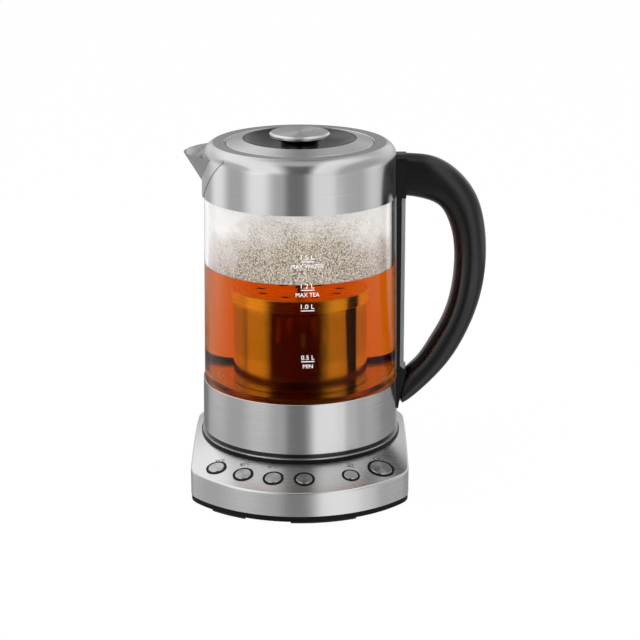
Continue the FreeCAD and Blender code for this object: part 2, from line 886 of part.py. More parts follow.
def lower_seal():
    """Silicone ring that holds the glass and the heating plate in the lower band."""
    low = glass_low - seal_thickness
    inner = plate_radius + fit_gap
    outer = jug_r(band_top) - jug_sheet - 0.1
    lip = glass_r(band_top) - glass_wall - 0.1
    return turned(
        (inner, low),
        (outer, low),
        (outer, glass_low),
        (lip, glass_low),
        (lip, jug_floor - 0.4),
        (inner, jug_floor - 0.4),
    )


def heating_plate():
    """Steel floor of the jug: a raised flat middle, a lower ring and a rim turned down."""
    slant = plateau_radius + plateau_rise
    rim_low = jug_floor - plate_rim
    return turned(
        (0, plateau_under),
        (plateau_radius, plateau_under),
        (slant, jug_floor - plate_sheet),
        (plate_radius - plate_sheet, jug_floor - plate_sheet),
        (plate_radius - plate_sheet, rim_low),
        (plate_radius, rim_low),
        (plate_radius, jug_floor),
        (slant + 0.4, jug_floor),
        (plateau_radius + 0.4, plateau_top),
        (0, plateau_top),
    )


def heat_diffuser():
    """Aluminium disc under the plate's raised middle."""
    return disc(plateau_radius - 2, plateau_under - diffuser_thickness, plateau_under)


def heating_element():
    """Sheathed element under the diffuser: an open ring with a pin at each end."""
    z = plateau_under - diffuser_thickness - element_tube
    sweep = 360 - element_gap_angle
    start = 90 + element_gap_angle / 2
    first = Vector(element_radius * math.cos(math.radians(start)), element_radius * math.sin(math.radians(start)), z)
    circle = Part.Circle(Vector(first), Vector(-math.sin(math.radians(start)), math.cos(math.radians(start)), 0),
                         element_tube)
    face = Part.Face(Part.Wire(circle.toShape()))
    tube = face.revolve(Vector(0, 0, z), Vector(0, 0, 1), sweep)
    for angle in (start + 6, start + sweep - 6):
        x = element_radius * math.cos(math.radians(angle))
        y = element_radius * math.sin(math.radians(angle))
        tube = tube.fuse(disc(element_pin_radius, z - element_pin_length, z, x, y))
    return tube.removeSplitter()


def temperature_sensor():
    """Temperature probe pressed against the diffuser's middle."""
    top = plateau_under - diffuser_thickness
    probe = disc(sensor_radius, top - sensor_length, top)
    return probe.fuse(disc(sensor_radius + 1.5, top - sensor_length - 1.2, top - sensor_length)).removeSplitter()


def thermal_cutout():
    """Cut-out on the diffuser, beside the probe, with two terminals."""
    top = plateau_under - diffuser_thickness
    body = disc(cutout_radius, top - cutout_height, top, 0, -cutout_offset)
    for side in (-1, 1):
        lug = block(2.4, 0.8, top - cutout_height - 6, top - cutout_height, side * 3.5, -cutout_offset)
        body = body.fuse(lug)
    return body.removeSplitter()


def jug_underside():
    """Black cover under the jug: a disc with a foot ring, and a wall that carries the seal."""
    hole = plug_radius + socket_play + socket_wall + slide_gap
    foot_inner = foot_ring_outer - foot_ring_width
    wall_outer = jug_r(band_top) - jug_sheet - 0.2
    wall_top = glass_low - seal_thickness - 0.1
    cover = turned(
        (hole, disc_low),
        (foot_inner, disc_low),
        (foot_inner, floor_top + seat_gap),
        (foot_ring_outer, floor_top + seat_gap),
        (foot_ring_outer, skirt_low),
        (jug_skirt_radius, skirt_low),
        (jug_skirt_radius, disc_top),
        (wall_outer, disc_top),
        (wall_outer, wall_top),
        (wall_outer - 2, wall_top),
        (wall_outer - 2, disc_top),
        (hole, disc_top),
    )
    return cover.cut(handle_screw_holes(handle_low_screws, handle_head_radius + fit_gap))


def jug_outside():
    """Solid space inside the jug's outer faces, with a small gap for what is fixed to it."""
    gap = 0.1
    return turned(
        (0, jug_bottom - 10),
        (jug_r(jug_bottom) + gap, jug_bottom - 10),
        (jug_r(jug_bottom) + gap, jug_bottom),
        (jug_r(shoulder_low) + gap, shoulder_low),
        (jug_r(shoulder_low) + gap, jug_top + 5),
        (0, jug_top + 5),
    )


def handle_screw_holes(places, radius):
    """Level cylinders along X at the handle's screws."""
    length = handle_top_screw_length + 4
    return Part.makeCompound([Part.makeCylinder(radius, length, Vector(jug_radius - 6, y, z), Vector(1, 0, 0))
                              for y, z in places])


def bracket_slab():
    """Side profile of the bracket: the upper block, the strap and the wedge at its foot."""
    root_x, root_low = grip_stations[0][0]
    root_high = grip_stations[0][1][1]
    lower_x, lower_z = grip_stations[-2][0]
    end_x, end_z = grip_stations[-1][0]
    return side_slab([
        (jug_radius - 12, root_high),
        (root_x, root_high),
        (root_x, root_low),
        (strap_outer, root_low),
        (strap_outer, lower_z + 4),
        (lower_x, lower_z),
        (end_x, end_z),
        (jug_radius + 0.4, strap_tip),
        (jug_radius - 12, strap_tip),
    ], strap_half_width)


def handle_bracket():
    """Black strap down the jug's side, with the block that the grip's upper end is fixed to."""
    slab = bracket_slab()
    top = slab.BoundBox.ZMax
    upper = [e for e in slab.Edges if e.BoundBox.ZMin > top - 0.01 and e.BoundBox.YLength < 0.01]
    body = slab.makeFillet(bracket_round, upper).cut(jug_outside())
    return body.cut(handle_screw_holes(handle_top_screws + handle_low_screws, handle_screw_radius + screw_gap))


def strap_trim():
    """Grey strip on the strap's outer face, between the grip's two ends."""
    low = grip_stations[-2][0][1] + 5
    high = grip_stations[0][0][1] - 0.2
    strip = block(strap_trim_thickness, 2 * (strap_half_width - strap_trim_inset), low, high,
                  strap_outer + strap_trim_thickness / 2, 0)
    return strip.makeChamfer(0.6, [e for e in strip.Edges if is_upright(e) and e.BoundBox.XMin > strap_outer + 1])


def handle_screws():
    """Screws that hold the handle's bracket to the collar and the lower band."""
    group = []
    for y, z in handle_top_screws + handle_low_screws:
        wall = math.sqrt((jug_r(z) - jug_sheet) ** 2 - (abs(y) + handle_head_radius) ** 2)
        start = Vector(wall - handle_head_height - screw_gap, y, z)
        head = Part.makeCylinder(handle_head_radius, handle_head_height, start, Vector(1, 0, 0))
        length = handle_low_screw_length if z < band_top else handle_top_screw_length
        shank = Part.makeCylinder(handle_screw_radius, length, start, Vector(1, 0, 0))
        group.append(head.fuse(shank).removeSplitter())
    return Part.makeCompound(group)


def grip_loft(margin, stations):
    """Smooth body through the grip's stations, each an upright oval drawn in by a margin."""
    wires = []
    for inner, outer, half_width in stations:
        centre = Vector((inner[0] + outer[0]) / 2, 0, (inner[1] + outer[1]) / 2)
        across = Vector(outer[0] - inner[0], 0, outer[1] - inner[1])
        half_depth = across.Length / 2 - margin
        across.normalize()
        side = Vector(0, half_width - margin, 0)
        deep = across * half_depth
        quarters = [(deep, side), (side, -deep), (-deep, -side), (-side, deep)]
        wires.append(Part.Wire([quarter_oval(centre, start, end) for start, end in quarters]))
    return Part.makeLoft(wires, True, False)


def quarter_oval(centre, start, end):
    """Quarter of a slightly squared oval, from one half axis to the next."""
    fullness = 0.64
    curve = Part.BezierCurve()
    curve.setPoles([centre + start, centre + start + end * fullness, centre + end + start * fullness, centre + end])
    return curve.toShape()


def seam_tool():
    """Space outside the seam between the grip's two shells."""
    side = 2 * max(half for inner, outer, half in grip_stations)
    points = []
    for inner, outer, half_width in grip_stations:
        x = outer[0] + (inner[0] - outer[0]) * grip_seam_share
        z = outer[1] + (inner[1] - outer[1]) * grip_seam_share
        points.append(Vector(x, -side, z))
    first = points[0] - Vector(10, 0, 0)
    last = points[-1] + (points[-1] - points[-2]).normalize() * 10
    curve = Part.BSplineCurve()
    curve.interpolate([first] + points + [last])
    far = 2 * max(outer[0] for inner, outer, half in grip_stations)
    corners = [last, Vector(last.x, -side, last.z - side), Vector(far, -side, last.z - side),
               Vector(far, -side, first.z + side), Vector(first.x, -side, first.z + side), first]
    edges = [curve.toShape()]
    edges += [Part.LineSegment(corners[i], corners[i + 1]).toShape() for i in range(len(corners) - 1)]
    return Part.Face(Part.Wire(Part.__sortEdges__(edges))).extrude(Vector(0, 2 * side, 0))


def grip_shells():
    """Inner shell and outer cover of the hollow grip."""
    body = grip_loft(0, grip_stations)
    hollow = grip_loft(grip_wall, grip_stations[1:-2])
    shell = body.cut(hollow).cut(bracket_slab()).cut(jug_outside())
    shell = shell.cut(handle_screw_holes(handle_top_screws + handle_low_screws, handle_screw_radius + screw_gap))
    tool = seam_tool()
    return shell.cut(tool), shell.common(tool)


def lid_ring():
    """Steel ring of the lid, rising to the dish, with a rim turned down in the mouth."""
    outer = lid_ring_outer
    rise = jug_top + lid_ring_rise
    return turned(
        (outer - lid_sheet, jug_top - 3),
        (outer, jug_top - 3),
        (outer, jug_top - 0.4),
        (outer - 0.4, jug_top),
        (lid_ring_inner, rise),
        (lid_ring_inner, rise - lid_sheet),
        (outer - lid_sheet, jug_top - lid_sheet - 0.1),
    )


def lid_dish():
    """Black dish in the middle of the lid, with a flat floor under the knob."""
    rim = lid_ring_inner - 0.15
    rim_z = jug_top + lid_ring_rise - 0.3
    floor_z = rim_z - dish_depth
    bend = (rim * 0.72 + dish_flat_radius * 0.28 - 2.0, rim_z - dish_depth * 0.55)
    under_bend = (bend[0] - 0.2, bend[1] - dish_wall)
    return turned(
        (0, floor_z),
        (dish_flat_radius, floor_z),
        (bend, (rim - 1.2, rim_z)),
        (rim, rim_z),
        (rim, rim_z - dish_wall),
        (under_bend, (dish_flat_radius, floor_z - dish_wall)),
        (0, floor_z - dish_wall),
    )


def lid_plug():
    """Black body of the lid that hangs in the neck, with a groove for its seal."""
    outer = lid_ring_outer - lid_sheet - 0.1
    top = jug_top - lid_sheet - 0.6
    low = jug_top - neck_depth - 1.5
    groove_low = low + 2
    groove = outer - 1.2
    web = jug_top + lid_ring_rise - 0.3 - dish_depth - dish_wall
    return turned(
        (0, low),
        (outer, low),
        (outer, groove_low),
        (groove, groove_low),
        (groove, groove_low + seal_height),
        (outer, groove_low + seal_height),
        (outer, top),
        (outer - plug_wall, top),
        (outer - plug_wall, low + plug_wall),
        (knob_neck_radius, low + plug_wall),
        (knob_neck_radius, web),
        (0, web),
    )


def lid_seal():
    """Silicone ring in the plug's groove that closes the neck."""
    outer = lid_ring_outer - lid_sheet - 0.1
    low = jug_top - neck_depth + 0.5
    middle = low + seal_height / 2
    return turned(
        (outer - 1.15, low + 0.1),
        (outer, low + 0.1),
        ((mouth_radius - slide_gap, middle), (outer, low + seal_height - 0.1)),
        (outer - 1.15, low + seal_height - 0.1),
    )


def knob_cap():
    """Steel disc of the lid's knob, with a bright bevel round it."""
    top = jug_top + knob_top_above_collar
    return turned(
        (0, top - knob_height),
        (knob_radius - 0.5, top - knob_height),
        (knob_radius, top - knob_height + 0.5),
        (knob_radius, top - knob_chamfer),
        (knob_radius - knob_chamfer, top),
        (0, top + 0.2),
    )


def knob_stem():
    """Black stem and flange between the dish and the knob's disc."""
    high = jug_top + knob_top_above_collar - knob_height
    low = jug_top + lid_ring_rise - 0.3 - dish_depth
    return turned(
        (0, low),
        (knob_neck_radius, low),
        ((knob_neck_radius + 0.8, high - 2.4), (knob_flange_radius, high - 1.2)),
        (knob_flange_radius, high),
        (0, high),
    )


def basket_wall():
    """Perforated wall of the tea basket."""
    low = basket_low + basket_foot_height + 1.0
    high = basket_low + basket_height - basket_sheet - slide_gap
    wall = ring(basket_radius - basket_sheet, basket_radius, low, high)
    holes = []
    step_z = (basket_holes_high - basket_holes_low) / (basket_hole_rows - 1)
    step = 360.0 / basket_holes_per_row
    for row in range(basket_hole_rows):
        z = basket_low + basket_holes_low + row * step_z
        hole = Part.makeCylinder(basket_hole_radius, 4, Vector(basket_radius - 2, 0, z), Vector(1, 0, 0))
        for index in range(basket_holes_per_row):
            holes.append(turned_copy(hole, (index + 0.5 * (row % 2)) * step))
    return wall.cut(Part.makeCompound(holes))


def basket_base():
    """Floor and foot ring of the tea basket."""
    floor_z = basket_low + basket_foot_height
    return turned(
        (0, floor_z),
        (basket_radius - basket_foot_width, floor_z),
        (basket_radius - basket_foot_width, basket_low),
        (basket_radius + 0.3, basket_low),
        (basket_radius + 0.3, floor_z + 1.0),
        (0, floor_z + 1.0),
    )


def basket_lid():
    """Cap of the basket: a flat disc with holes and a skirt round the wall."""
    top = basket_low + basket_height
    low = top - basket_lid_skirt
    cap = turned(
        (0, top - basket_sheet),
        (basket_lid_radius - basket_sheet, top - basket_sheet),
        (basket_lid_radius - basket_sheet, low),
        (basket_lid_radius, low),
        (basket_lid_radius, top - 0.5),
        (basket_lid_radius - 0.5, top),
        (0, top),
    )
    for index in range(basket_lid_holes):
        hole = disc(basket_lid_hole_radius, low, top + 1, basket_lid_hole_circle, 0)
        cap = cap.cut(turned_copy(hole, (index + 0.5) * 360.0 / basket_lid_holes))
    return cap


def basket_knob():
    """Small knob on the basket's lid."""
    low = basket_low + basket_height
    return turned(
        (0, low),
        (basket_knob_radius * 0.55, low),
        (basket_knob_radius * 0.55, low + basket_knob_height * 0.45),
        (basket_knob_radius, low + basket_knob_height * 0.6),
        (basket_knob_radius, low + basket_knob_height - 0.8),
        (basket_knob_radius - 0.8, low + basket_knob_height),
        (0, low + basket_knob_height),
    )


def save(name, shape):
    """Write one sub-part as a STEP file and report its size."""
    shape.exportStep(os.path.join("parts", name + ".step"))
    print(name, len(shape.Solids), shape.isValid(), round(shape.Volume, 1))


def main():
    """Build every sub-part and write it."""
    os.makedirs("parts", exist_ok=True)
    inner_shell, outer_cover = grip_shells()
    parts = {
        "base_cover": base_cover(),
        "base_tray": base_tray(),
        "rubber_feet": feet(),
        "seat_dish": seat_dish(),
        "seat_trim_ring": seat_trim(),
        "power_plug": power_plug(),
        "plug_contacts": plug_contacts(),
        "button_bezels": bezels(),
        "control_board": control_board(),
        "push_switches": switches(),
        "power_board": power_board(),
        "transformer": transformer(),
        "relay": relay(),
        "cord_gland": cord_gland(),
        "base_screws": base_screws(),
        "jug_socket": jug_socket(),
        "socket_contacts": socket_contacts(),
        "glass_wall": jug_glass(),
        "lower_band": lower_band(),
        "upper_collar": collar(),
        "spout": spout(),
        "spout_filter": spout_filter(),
        "upper_seal": upper_seal(),
        "lower_seal": lower_seal(),
        "heating_plate": heating_plate(),
        "heat_diffuser": heat_diffuser(),
        "heating_element": heating_element(),
        "temperature_sensor": temperature_sensor(),
        "thermal_cutout": thermal_cutout(),
        "jug_underside": jug_underside(),
        "handle_bracket": handle_bracket(),
        "strap_trim": strap_trim(),
        "handle_screws": handle_screws(),
        "grip_inner_shell": inner_shell,
        "grip_outer_cover": outer_cover,
        "lid_ring": lid_ring(),
        "lid_dish": lid_dish(),
        "lid_plug": lid_plug(),
        "lid_seal": lid_seal(),
        "knob_cap": knob_cap(),
        "knob_stem": knob_stem(),
        "basket_wall": basket_wall(),
        "basket_base": basket_base(),
        "basket_lid": basket_lid(),
        "basket_knob": basket_knob(),
    }
    for name, (angle, cap, ring_radius) in buttons.items():
        parts[name + "_cap"] = button_cap(angle, cap)
        parts[name + "_plunger"] = button_plunger(angle, cap)
    for name, shape in parts.items():
        save(name, shape)


main()
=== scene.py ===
"""Looks of an automatic tea maker: steel, black plastic, clear glass and tea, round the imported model."""
import logging
import math
from dataclasses import dataclass
from enum import Enum

import bpy
import numpy as np
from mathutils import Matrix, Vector


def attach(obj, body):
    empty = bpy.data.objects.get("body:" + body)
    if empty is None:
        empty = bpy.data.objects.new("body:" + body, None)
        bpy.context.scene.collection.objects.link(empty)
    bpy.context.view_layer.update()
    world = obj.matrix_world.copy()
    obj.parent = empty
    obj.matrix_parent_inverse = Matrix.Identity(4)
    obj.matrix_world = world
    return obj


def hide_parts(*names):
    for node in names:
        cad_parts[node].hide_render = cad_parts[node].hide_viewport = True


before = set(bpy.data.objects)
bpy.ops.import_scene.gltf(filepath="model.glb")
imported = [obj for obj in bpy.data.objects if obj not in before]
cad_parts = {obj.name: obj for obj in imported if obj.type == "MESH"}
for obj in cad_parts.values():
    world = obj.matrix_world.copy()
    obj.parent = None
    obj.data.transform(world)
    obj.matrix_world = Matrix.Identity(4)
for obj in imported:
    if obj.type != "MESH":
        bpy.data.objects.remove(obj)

log = logging.getLogger("tea_maker")

MM = 0.001
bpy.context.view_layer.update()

# Sizes of the model, in millimetres, that the new pieces are set against
JUG_BOTTOM = 38.36
JUG_FLOOR = 71.86
PLATEAU_TOP = 74.36
PLATEAU_RADIUS = 50.4
FLOOR_INNER_RADIUS = 52.9
FLOOR_OUTER_RADIUS = 65.9
JUG_TAPER = 0.0115
GLASS_INNER = 68.5
GLASS_OUTER = 71.1
SEAT_TOP = 31.96
SEAT_RADIUS = 73.5
PANEL_SLOPE = math.radians(15.7)

# Height of a capital letter in the default font, whose size is 1
FONT_CAPITAL = 0.69


def glass_inner(z: np.ndarray) -> np.ndarray:
    """Inner radius of the glass at a height: it narrows evenly upwards."""
    return GLASS_INNER - JUG_TAPER * (z - JUG_BOTTOM)


def glass_outer(z: np.ndarray) -> np.ndarray:
    """Outer radius of the glass at a height: it narrows evenly upwards."""
    return GLASS_OUTER - JUG_TAPER * (z - JUG_BOTTOM)


def panel_height(radius: np.ndarray) -> np.ndarray:
    """Height of the base's conical panel at a distance from the jug's axis."""
    return SEAT_TOP - (radius - SEAT_RADIUS) * math.tan(PANEL_SLOPE)


class Graph:
    """Node tree of one material, built by short calls that return sockets."""

    def __init__(self, name: str) -> None:
        """Start an empty tree.

        Args:
            name: name of the new material.
        """
        self.material = bpy.data.materials.new(name)
        self.material.use_nodes = True
        self.tree = self.material.node_tree
        self.tree.nodes.clear()

    def node(self, kind: str, settings: dict | None = None, inputs: dict | None = None) -> bpy.types.Node:
        """Add a node.

        Args:
            kind: type name of the node, without its ShaderNode prefix.
            settings: plain properties of the node.
            inputs: values or sockets for its inputs, by name or index.

        Returns:
            The new node.
        """
        made = self.tree.nodes.new("ShaderNode" + kind)
        for key, value in (settings or {}).items():
            setattr(made, key, value)
        for key, value in (inputs or {}).items():
            if isinstance(value, bpy.types.NodeSocket):
                self.tree.links.new(value, made.inputs[key])
            else:
                made.inputs[key].default_value = value
        return made

    def position(self) -> bpy.types.NodeSocket:
        """Object coordinates of the surface point."""
        return self.node("TexCoord").outputs["Object"]

    def math(self, operation: str, *values: object) -> bpy.types.NodeSocket:
        """Result of a Math node on values or sockets."""
        return self.node("Math", {"operation": operation}, dict(enumerate(values))).outputs[0]

    def moved(self, vector: bpy.types.NodeSocket, centre: tuple, scale: tuple) -> bpy.types.NodeSocket:
        """Vector moved so that a centre lies at zero, then scaled along each axis."""
        apart = self.node("VectorMath", {"operation": "SUBTRACT"}, {0: vector, 1: centre}).outputs[0]
        return self.node("VectorMath", {"operation": "MULTIPLY"}, {0: apart, 1: scale}).outputs[0]

    def noise(self, vector: bpy.types.NodeSocket, scale: float, detail: float,
              rough: float) -> bpy.types.NodeSocket:
        """Strength of a Noise texture."""
        return self.node("TexNoise", {}, {"Vector": vector, "Scale": scale, "Detail": detail,
                                          "Roughness": rough}).outputs["Fac"]

    def ramp(self, value: bpy.types.NodeSocket, stops: list) -> bpy.types.NodeSocket:
        """Colour ramp.

        Args:
            value: socket with the place on the ramp.
            stops: pairs of place and colour, or grey level.

        Returns:
            The ramp's colour socket.
        """
        made = self.node("ValToRGB", {}, {"Fac": value})
        set_stops(made.color_ramp, stops)
        return made.outputs["Color"]

    def level(self, value: bpy.types.NodeSocket, low: float, high: float,
              start: float = 0.0, end: float = 1.0) -> bpy.types.NodeSocket:
        """Value mapped from one span to another, held at both ends."""
        return self.node("MapRange", {}, {"Value": value, "From Min": start, "From Max": end,
                                          "To Min": low, "To Max": high}).outputs[0]

    def bump(self, height: bpy.types.NodeSocket, strength: float, distance: float) -> bpy.types.NodeSocket:
        """Normal from a height."""
        return self.node("Bump", {}, {"Height": height, "Strength": strength,
                                      "Distance": distance}).outputs[0]

    def mix(self, share: object, first: object, second: object) -> bpy.types.NodeSocket:
        """Colour between two colours."""
        return self.node("Mix", {"data_type": "RGBA"}, {0: share, 6: first, 7: second}).outputs[2]

    def finish(self, shader: bpy.types.NodeSocket,
               volume: bpy.types.NodeSocket | None = None) -> bpy.types.Material:
        """Link the last shader to the output.

        Args:
            shader: socket of the surface shader.
            volume: socket of the volume shader, where there is one.

        Returns:
            The finished material.
        """
        output = self.node("OutputMaterial", {}, {"Surface": shader})
        if volume is not None:
            self.tree.links.new(volume, output.inputs["Volume"])
        return self.material


def set_stops(color_ramp: bpy.types.ColorRamp, stops: list) -> None:
    """Set a ramp's stops.

    Args:
        color_ramp: the ramp to fill.
        stops: pairs of place and colour, or grey level.
    """
    elements = color_ramp.elements
    while len(elements) > 1:
        elements.remove(elements[-1])
    for index, (place, colour) in enumerate(stops):
        element = elements[0] if index == 0 else elements.new(place)
        element.position = place
        rgb = (colour,) * 3 if isinstance(colour, (int, float)) else colour
        element.color = (*rgb, 1.0)


class Grain(Enum):
    """Direction of the fine brushing on steel."""

    ROUND = "lines round an upright axis"
    ALONG = "lines from left to right"


@dataclass(frozen=True)
class BrushedSteel:
    """Brushed or spun stainless steel with fine parallel lines."""

    name: str
    grain: Grain = Grain.ROUND
    colour: tuple = (0.62, 0.62, 0.625)
    roughness: float = 0.24
    anisotropic: float = 0.7
    depth: float = 0.12
    centre: tuple = (0.0, 0.0, 0.0)
    pitch: float = 2600.0

    def build(self) -> bpy.types.Material:
        """Make the material: lines in roughness, tint and bump, and a highlight drawn across them."""
        g = Graph(self.name)
        place = g.moved(g.position(), tuple(c * MM for c in self.centre), (1.0, 1.0, 1.0))
        axes = g.node("SeparateXYZ", {}, {0: place})
        x, y, z = axes.outputs[0], axes.outputs[1], axes.outputs[2]
        if self.grain is Grain.ROUND:
            radius = g.math("SQRT", g.math("ADD", g.math("MULTIPLY", x, x), g.math("MULTIPLY", y, y)))
            lines = g.node("CombineXYZ", {}, {0: g.math("MULTIPLY", radius, self.pitch),
                                              1: g.math("MULTIPLY", z, self.pitch),
                                              2: g.math("MULTIPLY", x, 6.0)}).outputs[0]
            around = g.node("VectorMath", {"operation": "CROSS_PRODUCT"},
                            {0: (0.0, 0.0, 1.0), 1: place}).outputs[0]
        else:
            facing = g.node("SeparateXYZ", {}, {0: g.node("TexCoord").outputs["Normal"]}).outputs[2]
            upward = g.math("GREATER_THAN", facing, 0.7)
            across = g.math("ADD", g.math("MULTIPLY", y, upward),
                            g.math("MULTIPLY", z, g.math("SUBTRACT", 1.0, upward)))
            lines = g.node("CombineXYZ", {}, {0: g.math("MULTIPLY", across, self.pitch),
                                              1: upward, 2: g.math("MULTIPLY", x, 9.0)}).outputs[0]
            around = g.node("CombineXYZ", {}, {0: 1.0, 1: 0.0, 2: 0.0}).outputs[0]
        tangent = g.node("VectorTransform", {"vector_type": "VECTOR", "convert_from": "OBJECT",
                                             "convert_to": "WORLD"}, {0: around}).outputs[0]
        fine = g.noise(lines, 1.0, 2.0, 0.6)
        broad = g.noise(place, 22.0, 3.0, 0.5)
        rough = g.math("ADD", g.level(fine, self.roughness - 0.04, self.roughness + 0.04, 0.3, 0.7),
                       g.level(broad, -0.008, 0.008))
        tint = g.ramp(fine, [(0.25, tuple(c * 0.95 for c in self.colour)),
                             (0.75, tuple(min(1.0, c * 1.04) for c in self.colour))])
        normal = g.bump(fine, self.depth, 0.00008)
        shader = g.node("BsdfPrincipled", {}, {
            "Base Color": tint, "Metallic": 1.0, "Roughness": rough, "Anisotropic": self.anisotropic,
            "Anisotropic Rotation": 0.25, "Tangent": tangent, "Normal": normal})
        return g.finish(shader.outputs[0])


@dataclass(frozen=True)
class Plastic:
    """Moulded plastic or rubber with a faint uneven sheen and a fine grain."""

    name: str
    colour: tuple
    roughness: float = 0.4
    grain: float = 0.1
    grain_scale: float = 1800.0
    sheen_level: float = 0.5
    variation: float = 0.12

    def build(self) -> bpy.types.Material:
        """Make the material: a fine grain in the bump, and slow changes of tint and roughness."""
        g = Graph(self.name)
        place = g.position()
        fine = g.noise(place, self.grain_scale, 2.0, 0.5)
        broad = g.noise(place, 35.0, 3.0, 0.55)
        low = tuple(c * (1 - self.variation) for c in self.colour)
        high = tuple(min(1.0, c * (1 + self.variation)) for c in self.colour)
        shader = g.node("BsdfPrincipled", {}, {
            "Base Color": g.ramp(broad, [(0.3, low), (0.7, high)]),
            "Roughness": g.level(broad, self.roughness * 0.88, self.roughness * 1.12, 0.3, 0.7),
            "Specular IOR Level": self.sheen_level,
            "Normal": g.bump(fine, self.grain, 0.00012)})
        return g.finish(shader.outputs[0])


@dataclass(frozen=True)
class PlainMetal:
    """Turned, cast or plated metal without brushing."""

    name: str
    colour: tuple
    roughness: float = 0.3

    def build(self) -> bpy.types.Material:
        """Make the material: small stains in the roughness and the tint."""
        g = Graph(self.name)
        spots = g.noise(g.position(), 260.0, 4.0, 0.6)
        shader = g.node("BsdfPrincipled", {}, {
            "Base Color": g.ramp(spots, [(0.3, tuple(c * 0.85 for c in self.colour)), (0.7, self.colour)]),
            "Metallic": 1.0,
            "Roughness": g.level(spots, self.roughness + 0.08, self.roughness - 0.05, 0.3, 0.7),
            "Normal": g.bump(spots, 0.15, 0.0002)})
        return g.finish(shader.outputs[0])


@dataclass(frozen=True)
class ClearGlass:
    """Clear borosilicate glass with the slightest waviness."""

    name: str
    colour: tuple = (0.985, 0.99, 0.99)

    def build(self) -> bpy.types.Material:
        """Make the material."""
        g = Graph(self.name)
        wave = g.noise(g.moved(g.position(), (0, 0, 0), (1.0, 1.0, 0.25)), 30.0, 1.0, 0.4)
        shader = g.node("BsdfPrincipled", {}, {
            "Base Color": (*self.colour, 1.0), "Roughness": 0.0, "IOR": 1.47, "Transmission Weight": 1.0,
            "Specular IOR Level": 0.06, "Specular Tint": (0.05, 0.05, 0.05, 1.0),
            "Normal": g.bump(wave, 0.04, 0.0006)})
        return g.finish(shader.outputs[0])


@dataclass(frozen=True)
class Tea:
    """Black tea: clear amber liquid that darkens to red with depth."""

    name: str
    colour: tuple = (0.94, 0.70, 0.0)
    density: float = 70.0

    def build(self) -> bpy.types.Material:
        """Make the material: a smooth surface and a volume that takes up blue and green light."""
        g = Graph(self.name)
        ripple = g.noise(g.position(), 40.0, 1.0, 0.4)
        shader = g.node("BsdfPrincipled", {}, {
            "Base Color": (1.0, 1.0, 1.0, 1.0), "Roughness": 0.0, "IOR": 1.33, "Transmission Weight": 1.0,
            "Specular IOR Level": 0.1, "Specular Tint": (0.08, 0.08, 0.08, 1.0),
            "Normal": g.bump(ripple, 0.02, 0.0005)})
        volume = g.node("VolumeAbsorption", {}, {"Color": (*self.colour, 1.0), "Density": self.density})
        return g.finish(shader.outputs[0], volume.outputs[0])


@dataclass(frozen=True)
class Mist:
    """Condensed mist inside the glass: a pale film, with fine drops that stand closest low in the middle. Its
    colours carry painted light: the film is darker and redder low down near the tea, the drops are painted dark
    and bright as shade and glints, and it glows a little.
    """

    name: str
    low: float = 163.0
    high: float = 212.0
    arch: float = 56.0
    spread: tuple = (1.25, 0.9)

    def build(self) -> bpy.types.Material:
        """Make the material: a film over clear space, and dark and bright drops where the arch is. The drops'
        dark and bright colours are painted shade and glints, the film is painted darker and redder near the
        tea, and an emission adds a painted glow.
        """
        g = Graph(self.name)
        place = g.position()
        axes = g.node("SeparateXYZ", {}, {0: place})
        turn = g.math("ARCTAN2", axes.outputs[0], g.math("MULTIPLY", axes.outputs[1], -1.0))
        rise = g.math("SUBTRACT", g.math("MULTIPLY", axes.outputs[2], 1000.0), self.low)
        left = g.math("LESS_THAN", turn, 0.0)
        rate = g.level(left, self.spread[1], self.spread[0])
        ragged = g.level(g.noise(place, 60.0, 3.0, 0.6), -14.0, 14.0, 0.3, 0.7)
        bend = g.math("MINIMUM", g.math("MULTIPLY", g.math("ABSOLUTE", turn), rate), 2.2)
        bow = g.math("MULTIPLY", g.math("COSINE", bend), self.arch)
        inside = g.level(g.math("ADD", g.math("SUBTRACT", bow, rise), ragged), 0.0, 1.0, -14.0, 34.0)
        drops = g.noise(place, 1150.0, 1.0, 0.5)
        share = g.level(rise, 0.0, 1.0, 0.0, self.high - self.low)
        # Painted shade: the film is darker and redder low down, near the tea, and pale higher up.
        film = g.ramp(share, [(0.0, (0.60, 0.48, 0.53)), (0.22, (0.72, 0.64, 0.66)),
                              (0.5, (0.80, 0.78, 0.77)), (1.0, (0.86, 0.86, 0.85))])
        # Painted shade and glints: the clear drops are given dark brown and bright colours.
        drop_shade_and_glints = g.ramp(drops, [(0.32, (0.12, 0.085, 0.055)), (0.42, (0.29, 0.23, 0.16)),
                                 (0.50, (0.46, 0.40, 0.32)), (0.62, (0.70, 0.67, 0.61))])
        colour = g.mix(g.math("MULTIPLY", inside, 0.95), film, drop_shade_and_glints)
        near = g.ramp(share, [(0.0, 0.92), (0.3, 0.88), (0.7, 0.8), (0.88, 0.62), (1.0, 0.4)])
        close = g.math("MULTIPLY", inside, g.level(drops, 0.85, 0.4, 0.35, 0.65))
        cover = g.math("MAXIMUM", near, close)
        front = g.node("BsdfDiffuse", {}, {"Color": colour}).outputs[0]
        behind = g.node("BsdfTranslucent", {}, {"Color": colour}).outputs[0]
        lit = g.node("MixShader", {}, {0: 0.45, 1: front, 2: behind}).outputs[0]
        # Painted glow: the mist gives off light in its own colour, on top of the light it receives.
        painted_mist_glow = g.node("Emission", {}, {"Color": colour, "Strength": 0.5}).outputs[0]
        film_shader = g.node("AddShader", {}, {0: lit, 1: painted_mist_glow}).outputs[0]
        clear = g.node("BsdfTransparent", {}, {}).outputs[0]
        return g.finish(g.node("MixShader", {}, {0: cover, 1: clear, 2: film_shader}).outputs[0])


